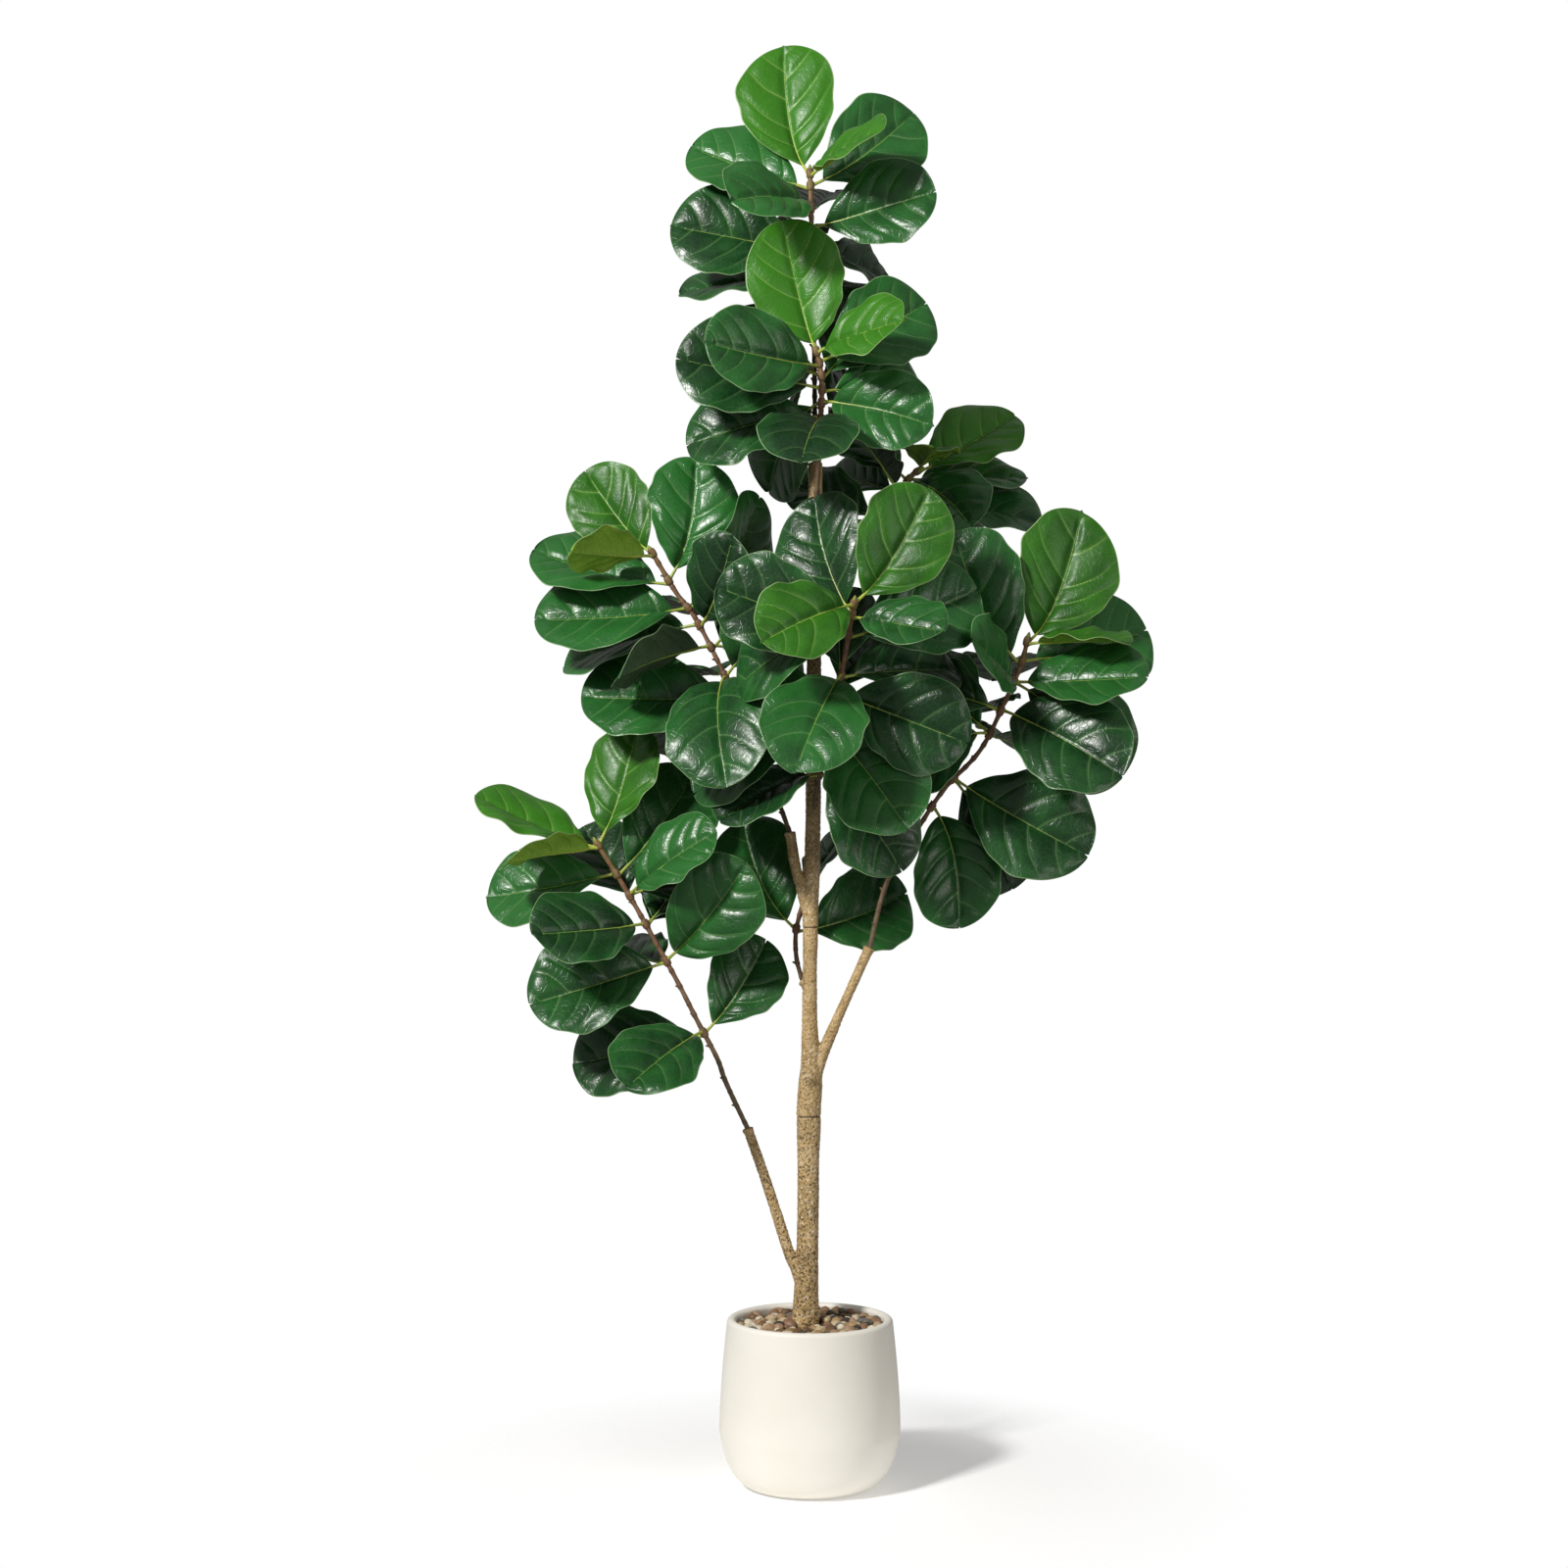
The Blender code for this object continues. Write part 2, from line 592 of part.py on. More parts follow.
def plug_hole(spray, path, cutters):
    """The hole that a stem plugs into, which follows the stem's own first stretch."""
    points = stem_points(path)[:PLUG_POINTS]
    start = points[0] - (points[1] - points[0]).normalized() * PLUG_CLEARANCE
    hole = (STEM_RADIUS + PLUG_CLEARANCE) / math.cos(math.pi / 8)
    spots = [start, *points[1:]]
    return baked(tube(f"{spray}_hole", spots, [hole] * len(spots), STEM_BEVEL, cutters))


def make_trunk(paths, collection, cutters, materials):
    low_rows = [(trunk_low_end(), LOWER_TRUNK[0][1], LOWER_TRUNK[0][2]), *LOWER_TRUNK]
    points, radii = trunk_section(low_rows, trunk_low_end(), LOWER_SEAM - TOUCH_GAP / 2)
    lower = trunk_tube("trunk_lower", points, radii, collection)
    left = arm("left_arm", LEFT_ARM, LEFT_ARM_RADII, cutters)
    low_side, high_side = LOWER_TRUNK[-1][1], MIDDLE_TRUNK[-1][1]
    spigot = seam_rod("spigot", low_side, LOWER_SEAM, LOWER_SPIGOT_RADIUS, cutters)
    lower = combined(lower, [left, spigot], "UNION")
    lower = combined(lower, [plug_hole("lower_left", paths["lower_left"], cutters)], "DIFFERENCE")

    points, radii = trunk_section(
        MIDDLE_TRUNK, LOWER_SEAM + TOUCH_GAP / 2, UPPER_SEAM - TOUCH_GAP / 2
    )
    middle = trunk_tube("trunk_middle", points, radii, collection)
    right = arm("right_arm", RIGHT_ARM, RIGHT_ARM_RADII, cutters)
    spigot = seam_rod("spigot", high_side, UPPER_SEAM, UPPER_SPIGOT_RADIUS, cutters)
    middle = combined(middle, [right, spigot], "UNION")
    holes = [plug_hole(name, paths[name], cutters) for name in ("right", "inner")]
    holes.append(socket_rod("socket", low_side, LOWER_SEAM, LOWER_SPIGOT_RADIUS, cutters))
    middle = combined(middle, holes, "DIFFERENCE")

    points, radii = trunk_section(UPPER_TRUNK, UPPER_SEAM + TOUCH_GAP / 2, TRUNK_TOP)
    upper = trunk_tube("trunk_upper", points, radii, collection)
    upper_left = arm("upper_left_arm", UPPER_LEFT_ARM, UPPER_LEFT_ARM_RADII, cutters)
    upper = combined(upper, [upper_left], "UNION")
    names = ("upper_left", "front", "back_right", "crown", "leader")
    holes = [plug_hole(name, paths[name], cutters) for name in names]
    holes.append(socket_rod("socket", high_side, UPPER_SEAM, UPPER_SPIGOT_RADIUS, cutters))
    upper = combined(upper, holes, "DIFFERENCE")
    for section in (lower, middle, upper):
        finish(section, materials["bark"])


def trunk_hole(name, cutters):
    """What the weighted base and the pebbles leave free for the trunk."""
    _, side, radius = LOWER_TRUNK[0]
    start = Vector((side, 0.0, rise(trunk_low_end()) - TOUCH_GAP))
    end = Vector((side, 0.0, POT_HEIGHT + HOLE_OVERRUN))
    return rod(name, start, end, radius + PLUG_CLEARANCE, 16, cutters)


# Stems.


def stem_path(route):
    return Path([Vector((side, back, rise(height))) for side, back, height in route])


def stem_points(path):
    return path.evenly(STEM_STEP)


def make_stem(spray, path, collection, materials):
    points = stem_points(path)
    name = "inner_twig" if spray == "inner" else f"{spray}_stem"
    stem = tube(name, points, [STEM_RADIUS] * len(points), STEM_BEVEL, collection)
    finish(stem, materials["stem"])


# Leaves.


class Leaf:
    """One blade with its petiole, as rows of left, middle and right points from foot to tip."""

    def __init__(self, foot, outward, reach, facing, roll=0.0):
        length = reach.length
        axis = reach.normalized()
        upward = Vector((0.0, -math.sin(facing), math.cos(facing)))
        normal = (upward - axis * upward.dot(axis)).normalized()
        normal = Matrix.Rotation(roll, 3, axis) @ normal
        side = axis.cross(normal)
        control = foot + (outward * SPREAD + axis * FORWARD + normal * ARCH) * length
        blade = length * (1 - PETIOLE_SHARE)
        flat = (side - outward * side.dot(outward)).normalized() * PETIOLE_HALF_WIDTH
        self.rows = [(foot - flat, foot, foot + flat)]
        for place, share, lift in STATIONS:
            middle = quadratic(foot, control, foot + reach, place)
            half = blade * LEAF_WIDTH_SHARE / 2 * share
            rise_by = normal * half * lift
            self.rows.append((middle - side * half + rise_by, middle, middle + side * half + rise_by))
        self.normal = normal
        self.side = side

    def thick(self, clearance):
        """The blade beyond the petiole as a closed shell, wider on both faces by the clearance."""
        off = self.normal * clearance
        out = self.side * clearance
        rows = self.rows[1:]
        points = []
        for left, middle, right in rows:
            points += [left - out + off, middle + off, right + out + off]
            points += [left - out - off, middle - off, right + out - off]
        faces = []
        for row in range(len(rows) - 1):
            a, b = 6 * row, 6 * (row + 1)
            ring = ((0, 1), (1, 2), (2, 5), (5, 4), (4, 3), (3, 0))
            faces += [(a + p, a + q, b + q, b + p) for p, q in ring]
        last = 6 * (len(rows) - 1)
        faces += [(0, 1, 4, 3), (1, 2, 5, 4)]
        faces += [(last, last + 1, last + 4, last + 3), (last + 1, last + 2, last + 5, last + 4)]
        return points, faces


def blade_object(name, leaf, collection):
    """The leaf's sheet with its thickness."""
    shape = bmesh.new()
    rows = [[shape.verts.new(point) for point in row] for row in leaf.rows]
    for low, high in zip(rows, rows[1:]):
        for column in range(2):
            shape.faces.new((low[column], low[column + 1], high[column + 1], high[column]))
    item = mesh_object(name, shape, collection)
    solid = item.modifiers.new("thickness", "SOLIDIFY")
    solid.thickness = LEAF_THICKNESS
    solid.offset = 0.0
    return item


class Clearance:
    """What is already in place, and whether a new blade keeps clear of it."""

    def __init__(self):
        self.points = []  # (centre, radius) along stems and trunk
        self.blades = []  # (centre, reach, tree)

    def add_line(self, points, radii):
        self.points += list(zip(points, radii))

    def is_free(self, leaf):
        points, faces = leaf.thick(LEAF_CLEARANCE)
        tree = BVHTree.FromPolygons(points, faces)
        centre = sum(points, Vector()) / len(points)
        reach = max((point - centre).length for point in points)
        for place, radius in self.points:
            margin = radius + STEM_MARGIN
            if (place - centre).length < reach + margin:
                if tree.find_nearest(place, margin)[0] is not None:
                    return False
        for other_centre, other_reach, other in self.blades:
            if (other_centre - centre).length < reach + other_reach and tree.overlap(other):
                return False
        return True

    def add(self, leaf):
        points, faces = leaf.thick(LEAF_CLEARANCE)
        centre = sum(points, Vector()) / len(points)
        reach = max((point - centre).length for point in points)
        self.blades.append((centre, reach, BVHTree.FromPolygons(points, faces)))


def swings():
    """Every swing in depth, swing in plane and roll, the smallest changes first."""
    every = itertools.product(DEPTH_SWINGS, PLANE_SWINGS, ROLLS)
    return sorted(every, key=lambda s: abs(s[0]) + PLANE_COST * abs(s[1]) + ROLL_COST * abs(s[2]))


def settled(foot_of, row, clearance, ordered):
    """The leaf of one table row, swung about its foot by the least that clears the others."""
    reach = Vector(row[:3]) * LEAF_UNIT
    facing, roll = math.radians(row[3]), math.radians(row[4] if len(row) > 4 else 0.0)
    depth_axis = reach.cross(Vector((0.0, 1.0, 0.0)))
    plane_axis = Vector((0.0, 1.0, 0.0))
    first = None
    for depth, plane, turn in ordered:
        swung = Matrix.Rotation(math.radians(plane), 3, plane_axis) @ reach
        swung = Matrix.Rotation(math.radians(depth), 3, depth_axis) @ swung
        foot, outward = foot_of(swung)
        leaf = Leaf(foot, outward, swung, facing, roll + math.radians(turn))
        first = first or leaf
        if clearance.is_free(leaf):
            clearance.add(leaf)
            return leaf
    print("no clear place:", row)
    clearance.add(first)
    return first


def foot_on(path, distance):
    """A function from a leaf's reach to its foot in the sleeve's wall and its way out."""
    place, way = path.at(distance), path.direction(distance)

    def foot_of(reach):
        outward = (reach - way * reach.dot(way)).normalized()
        return place + outward * (STEM_RADIUS + PLUG_CLEARANCE + SLEEVE_WALL * FOOT_DEPTH_SHARE), outward

    return foot_of


def arrange_leaves(paths):
    """Every leaf in its place: the top groups of all the sprays first, then the next ones."""
    clearance = Clearance()
    line, radii = zip(*trunk_line())
    trunk = Path(list(line), 10)
    samples = trunk.evenly(SAMPLE_STEP)
    widths = [radii[min(range(len(line)), key=lambda i: (line[i] - p).length)] for p in samples]
    clearance.add_line(samples, widths)
    for route, arm_radii in (
        (LEFT_ARM, LEFT_ARM_RADII),
        (RIGHT_ARM, RIGHT_ARM_RADII),
        (UPPER_LEFT_ARM, UPPER_LEFT_ARM_RADII),
    ):
        arm_path = Path([Vector((side, 0.0, rise(height))) for side, height in route])
        spots = arm_path.evenly(SAMPLE_STEP)
        clearance.add_line(spots, [max(arm_radii)] * len(spots))
    sleeve = STEM_RADIUS + PLUG_CLEARANCE + SLEEVE_WALL
    for path in paths.values():
        spots = path.evenly(SAMPLE_STEP)
        clearance.add_line(spots, [sleeve] * len(spots))
    ordered = swings()
    placed = {name: [] for name in SPRAYS}
    for group in range(max(len(spray["leaves"]) for spray in SPRAYS.values())):
        for name, spray in SPRAYS.items():
            if group >= len(spray["leaves"]):
                continue
            share, rows = spray["leaves"][group]
            middle = share * paths[name].length
            spread = FOOT_OFFSET * 2 / max(1, len(rows) - 1)
            leaves = []
            for index, row in enumerate(rows):
                distance = middle + FOOT_OFFSET - spread * index
                foot_of = foot_on(paths[name], distance)
                leaves.append(settled(foot_of, row, clearance, ordered))
            placed[name].append((middle, leaves))
    for name, rows in FILLERS.items():
        for group, row in rows.items():
            middle, leaves = placed[name][group]
            leaves.append(settled(foot_on(paths[name], middle), row, clearance, ordered))
    return placed


def make_leaf_group(name, path, middle, leaves, collection, cutters, material):
    """A sleeve on the stem with its leaves, as one piece."""
    low = path.at(middle - SLEEVE_LENGTH / 2)
    high = path.at(middle + SLEEVE_LENGTH / 2)
    way = (high - low).normalized()
    outer = STEM_RADIUS + PLUG_CLEARANCE + SLEEVE_WALL
    sleeve = rod(name, low, high, outer, 8, collection)
    blades = [blade_object(f"{name}_{i}", leaf, cutters) for i, leaf in enumerate(leaves)]
    sleeve = combined(sleeve, blades, "UNION")
    over = way * BORE_OVERRUN
    bore = rod("bore", low - over, high + over, STEM_RADIUS + PLUG_CLEARANCE, 8, cutters)
    sleeve = combined(sleeve, [bore], "DIFFERENCE")
    finish(sleeve, material, 60)


def make_leaves(paths, collection, cutters, materials):
    for spray, groups in arrange_leaves(paths).items():
        for index, (middle, leaves) in enumerate(groups):
            name = f"{spray}_leaves_{index + 1}"
            material = materials["leaf_young" if name in YOUNG_GROUPS else "leaf_mature"]
            make_leaf_group(name, paths[spray], middle, leaves, collection, cutters, material)


def main():
    clear_scene()
    collection = new_collection("potted_fiddle_leaf_fig")
    cutters = new_collection("cutters")
    materials = make_materials()
    paths = {name: stem_path(spray["route"]) for name, spray in SPRAYS.items()}
    make_pot(collection, materials)
    make_base(trunk_hole("base_hole", cutters), collection, materials)
    make_pebble_bed(trunk_hole("bed_hole", cutters), collection, materials)
    make_trunk(paths, collection, cutters, materials)
    for spray, path in paths.items():
        make_stem(spray, path, collection, materials)
    make_leaves(paths, collection, cutters, materials)


main()
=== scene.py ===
"""The looks of a potted fiddle leaf fig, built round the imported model. Metres, front towards -Y.

Every leaf is rebuilt from its packed blade: the blade's rows of points give its foot, midrib
and width, and a fine leaf with veins, quilting and a wavy edge is made over them. The trunk,
stems, planter and pebbles are made again in finer detail, where they stand.
"""

import json
import math
import zlib
from math import pi, tau

import bmesh
import bpy
import numpy as np
from mathutils import Euler, Matrix, Vector, noise
from mathutils.bvhtree import BVHTree
from numpy.linalg import norm


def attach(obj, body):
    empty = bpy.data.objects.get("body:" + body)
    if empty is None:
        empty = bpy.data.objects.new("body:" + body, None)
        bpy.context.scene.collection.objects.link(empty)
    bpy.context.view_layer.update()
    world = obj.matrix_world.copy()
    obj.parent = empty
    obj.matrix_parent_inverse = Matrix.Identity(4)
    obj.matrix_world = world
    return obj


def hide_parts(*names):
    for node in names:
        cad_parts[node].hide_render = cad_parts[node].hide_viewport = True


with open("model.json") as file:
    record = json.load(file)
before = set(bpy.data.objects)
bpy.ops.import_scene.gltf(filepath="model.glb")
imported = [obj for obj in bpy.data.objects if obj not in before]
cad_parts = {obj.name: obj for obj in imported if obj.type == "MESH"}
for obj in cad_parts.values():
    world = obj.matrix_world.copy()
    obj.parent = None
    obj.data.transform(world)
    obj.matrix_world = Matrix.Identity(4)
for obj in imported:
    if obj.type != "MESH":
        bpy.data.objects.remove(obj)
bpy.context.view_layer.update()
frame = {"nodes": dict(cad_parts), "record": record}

# The planter and what stands in it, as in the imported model.
POT_HEIGHT = 0.212
POT_BELLY_RADIUS, POT_BELLY_HEIGHT = 0.115, 0.07
POT_FOOT_RADIUS, POT_RIM_RADIUS, POT_RIM_WIDTH = 0.07, 0.1055, 0.0115
POT_WALL, POT_FLOOR = 0.01, 0.012

# Trunk sections, as (height above the rim, sideways, radius).
LOWER_TRUNK = [
    (-0.02, -0.0063, 0.0175), (0.0, -0.0056, 0.017), (0.05, -0.0042, 0.015), (0.1225, -0.0025, 0.0138),
    (0.2, -0.0018, 0.0139), (0.24, -0.0014, 0.0152),
]
MIDDLE_TRUNK = [
    (0.264, -0.0014, 0.0155), (0.296, 0.0006, 0.0155), (0.318, 0.0014, 0.0135),
    (0.345, 0.0006, 0.0112), (0.3766, -0.0006, 0.0099), (0.43, -0.0002, 0.0094),
    (0.48, 0.0006, 0.0095),
]
UPPER_TRUNK = [
    (0.504, 0.0006, 0.01), (0.53, 0.0014, 0.0099), (0.6157, 0.0037, 0.0099), (0.8, 0.005, 0.0093),
    (0.95, 0.0061, 0.0091), (1.07, 0.0069, 0.009),
]
LOWER_SEAM, UPPER_SEAM, TRUNK_TOP, TRUNK_LOW_END = 0.256, 0.496, 1.0865, -0.1697

# Arms, as (sideways, height above the rim, radius).
LEFT_ARM = [
    (-0.0045, 0.016, 0.0125), (-0.008, 0.042, 0.0112), (-0.0165, 0.0635, 0.009),
    (-0.0268, 0.083, 0.0075), (-0.0517, 0.161, 0.0068), (-0.0791, 0.2396, 0.0063),
]
RIGHT_ARM = [
    (0.0008, 0.284, 0.013), (0.006, 0.31, 0.0108), (0.023, 0.3517, 0.0074), (0.0542, 0.4227, 0.0062),
    (0.0753, 0.4688, 0.0066),
]
UPPER_LEFT_ARM = [
    (0.001, 0.503, 0.008), (-0.002, 0.516, 0.008), (-0.0075, 0.5323, 0.0074), (-0.018, 0.572, 0.007),
    (-0.0255, 0.6157, 0.0064),
]

# Stems, as (sideways, back, height above the rim).
STEM_ROUTES = {
    "leader": [
        (0.006, 0.003, 1.058), (0.0062, 0.006, 1.09), (0.006, 0.02, 1.188), (0.004, 0.015, 1.308),
        (0.0019, 0.0, 1.388), (0.0, -0.002, 1.46),
    ],
    "crown": [
        (0.0066, -0.001, 1.022), (0.0085, -0.013, 1.048), (0.012, -0.03, 1.118),
        (0.0143, -0.045, 1.183), (0.0063, -0.05, 1.226),
    ],
    "upper_left": [
        (-0.0225, 0.0, 0.596), (-0.0255, 0.0, 0.6157), (-0.0766, 0.0, 0.7527), (-0.1015, 0.0, 0.8025),
        (-0.1426, 0.0, 0.8835), (-0.17, 0.0, 0.921), (-0.1924, 0.0, 0.9582), (-0.2036, 0.0, 0.977),
    ],
    "front": [
        (0.0042, -0.001, 0.632), (0.007, -0.013, 0.66), (0.02, -0.05, 0.738), (0.037, -0.1, 0.811),
        (0.0532, -0.14, 0.903),
    ],
    "right": [
        (0.0674, 0.0, 0.4505), (0.0753, 0.0, 0.4688), (0.0978, 0.0, 0.5535), (0.1414, 0.0, 0.6282),
        (0.1725, 0.0, 0.674), (0.2161, -0.01, 0.7216), (0.2472, -0.015, 0.7839),
        (0.2659, -0.02, 0.8274), (0.2759, -0.02, 0.865),
    ],
    "lower_left": [
        (-0.0722, 0.0, 0.2212), (-0.0791, 0.0, 0.2396), (-0.1065, 0.0, 0.2975), (-0.118, 0.0, 0.3295),
        (-0.1426, 0.0, 0.376), (-0.169, 0.0, 0.428), (-0.2074, 0.0, 0.4974), (-0.2323, 0.0, 0.541),
        (-0.2634, 0.0, 0.5908), (-0.273, 0.0, 0.606),
    ],
    "back_right": [
        (0.0055, 0.001, 0.872), (0.0085, 0.013, 0.898), (0.04, 0.05, 0.958), (0.09, 0.09, 1.018),
        (0.13, 0.12, 1.078), (0.148, 0.13, 1.094),
    ],
    "inner": [
        (-0.001, 0.001, 0.402), (-0.0095, 0.007, 0.428), (-0.017, 0.011, 0.455),
        (-0.018, 0.016, 0.488), (-0.011, 0.023, 0.518), (-0.002, 0.027, 0.548),
    ],
}
STEM_RADIUS = 0.003
STEM_SIDES = 16
SCAR_START, SCAR_STEP, SCAR_STRAY = 0.03, 0.021, 0.004  # leaf scars along a stem
COLLAR_REACH = 0.0062  # to both sides of a collar's middle
RING_START = (0.3, 1.0, 0.1)  # roughly where the first point of a stem's rings lies

# Packed leaves.
ROW_PLACES = np.array([0.13, 0.29, 0.5, 0.72, 0.895, 1.00])  # from foot to tip
SLEEVE_REACH = 0.0036  # what stands nearer than this to a stem is sleeve and not blade
PACKED_THICKNESS, PACKED_SLACK = 0.0012, 0.00004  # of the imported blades

# Fine leaves.
BLADE_START, BLADE_WIDEST, TIP_REACH = 0.098, 0.72, 0.292
ROWS_TO_WIDEST, ROWS_TO_TIP, COLUMNS = 46, 26, 23  # columns on each side of the midrib
LEAF_THICKNESS = 0.0008
VEINS = 5.0  # veins along one side of a leaf
VEIN_SHIFT = 0.35  # of a vein's spacing, from the veins of one side to the other's
MIDRIB_SIDES = 12

# Trunk sections.
SEAM_GAP = -0.0009  # their rounded ends sink into each other and leave a shallow groove
SEAM_RING, UPPER_SEAM_RING = (0.0009, 0.0011), (0.0008, 0.001)  # depth and width of the grooves
BARK_VOXEL = 0.001
NOISE_TURN = (0.61, 0.47, 0.83)  # turns the bark's noise off its own grid

# Pebbles and the gravel under them.
PEBBLE_COUNT, PEBBLE_RADII = 330, (0.0047, 0.0078)
PEBBLE_LOW, PEBBLE_WALL = 0.189, 0.0932
PEBBLE_TOP, PEBBLE_SINK = 0.2135, 0.003  # at the middle, and how much lower at the wall
GRAVEL_LOW, GRAVEL_TOP, GRAVEL_GRIT = 0.164, 0.186, 0.0012

# The studio.
FLOOR_RADIUS, FLOOR_FADE = 1.9, (0.22, 0.6)
WARM_WHITE, FILL_WHITE, WHITE = (1.0, 0.985, 0.955), (1.0, 0.97, 0.92), (1.0, 1.0, 1.0)
ROOM_STRENGTH = 0.27
CAMERA_PLACE, CAMERA_LENS, CAMERA_SENSOR = (-0.033, -3.4, 0.89), 61.4, 36.0


# Meshes.


def scene_object(name, data):
    item = bpy.data.objects.new(name, data)
    bpy.context.scene.collection.objects.link(item)
    return item


def add_attribute(mesh, key, values):
    layer = mesh.attributes.new(key, "FLOAT_VECTOR", "POINT")
    layer.data.foreach_set("vector", np.asarray(values, np.float32).reshape(-1))


def mesh_object(name, points, face_groups, **attributes):
    """An object from points and arrays of faces, each array holding faces with one corner count."""
    mesh = bpy.data.meshes.new(name)
    faces = [face for group in face_groups for face in np.asarray(group).tolist()]
    mesh.from_pydata(np.asarray(points, float).tolist(), [], faces, shade_flat=False)
    for key, values in attributes.items():
        add_attribute(mesh, key, values)
    mesh.validate()
    return scene_object(name, mesh)


def settle(item, material, node):
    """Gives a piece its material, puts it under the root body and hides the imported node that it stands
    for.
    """
    item.data.materials.append(material)
    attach(item, "root")
    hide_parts(node)


def smoothstep(low, high, value):
    share = np.clip((value - low) / (high - low), 0.0, 1.0)
    return share * share * (3 - 2 * share)


def bell(offset, width):
    return np.exp(-((offset / width) ** 2))


def seeded(name):
    return np.random.default_rng(zlib.crc32(name.encode()))


def unit(vector):
    return vector / norm(vector)


class Parts:
    """Points, faces and attributes of several closed shells that make one piece."""

    def __init__(self):
        self.points, self.faces, self.attributes, self.count = [], {}, {}, 0

    def add(self, points, faces, **attributes):
        points = np.asarray(points, float).reshape(-1, 3)
        for group in faces:
            self.faces.setdefault(group.shape[1], []).append(group + self.count)
        for key, values in attributes.items():
            values = np.broadcast_to(np.asarray(values, float), (len(points), 3))
            self.attributes.setdefault(key, []).append(values)
        self.points.append(points)
        self.count += len(points)

    def build(self, name):
        groups = [np.concatenate(groups) for groups in self.faces.values()]
        attributes = {key: np.concatenate(v) for key, v in self.attributes.items()}
        return mesh_object(name, np.concatenate(self.points), groups, **attributes)


def round_angles(count):
    return np.arange(count) / count * tau


def ring_faces(rings, sides):
    """Quads between rings of points, and a face over each end."""
    low = np.arange(rings - 1)[:, None] * sides
    turn = np.arange(sides)[None, :]
    after = (turn + 1) % sides
    quads = np.stack([low + turn, low + after, low + sides + after, low + sides + turn], -1)
    ends = np.stack([np.arange(sides)[::-1], (rings - 1) * sides + np.arange(sides)])
    return [quads.reshape(-1, 4), ends]


def tube_points(line, radii, sides, sideways, bulge=1.0):
    """Rings round a line. The first point of each ring lies towards sideways."""
    line = np.asarray(line, float)
    ahead = np.gradient(line, axis=0)
    ahead /= norm(ahead, axis=1)[:, None]
    across = np.empty_like(ahead)
    last = np.asarray(sideways, float)
    for i, way in enumerate(ahead):
        last = unit(last - way * (last @ way))
        across[i] = last
    up = np.cross(ahead, across)
    angles = round_angles(sides)
    reach = np.asarray(radii, float)[:, None] * bulge * np.ones((1, sides))
    ring = np.cos(angles)[None, :, None] * across[:, None] + np.sin(angles)[None, :, None] * up[:, None]
    return line[:, None] + reach[..., None] * ring


# Curves.


def spline(points, steps=10):
    """A Catmull-Rom curve through the points."""
    points = np.asarray(points, float)
    ends = np.vstack([2 * points[0] - points[1], points, 2 * points[-1] - points[-2]])
    t = (np.arange(steps) / steps)[:, None]
    found = [
        0.5 * (2 * b + (c - a) * t + (2 * a - 5 * b + 4 * c - d) * t**2 + (3 * b - a - 3 * c + d) * t**3)
        for a, b, c, d in zip(ends, ends[1:], ends[2:], ends[3:])
    ]
    return np.vstack([*found, points[-1:]])


def evenly(points, spacing):
    """The curve's points again, evenly spaced, each with all of its columns."""
    points = np.asarray(points, float)
    reached = np.concatenate([[0], np.cumsum(norm(np.diff(points[:, :3], axis=0), axis=1))])
    places = np.linspace(0, reached[-1], max(3, round(reached[-1] / spacing)) + 1)
    return np.stack([np.interp(places, reached, column) for column in points.T], -1), places


def row_frame(height):
    return POT_HEIGHT + height


def stem_line(spray, spacing=0.0025):
    route = [(side, back, row_frame(height)) for side, back, height in STEM_ROUTES[spray]]
    return evenly(spline(route), spacing)


# Shader trees.


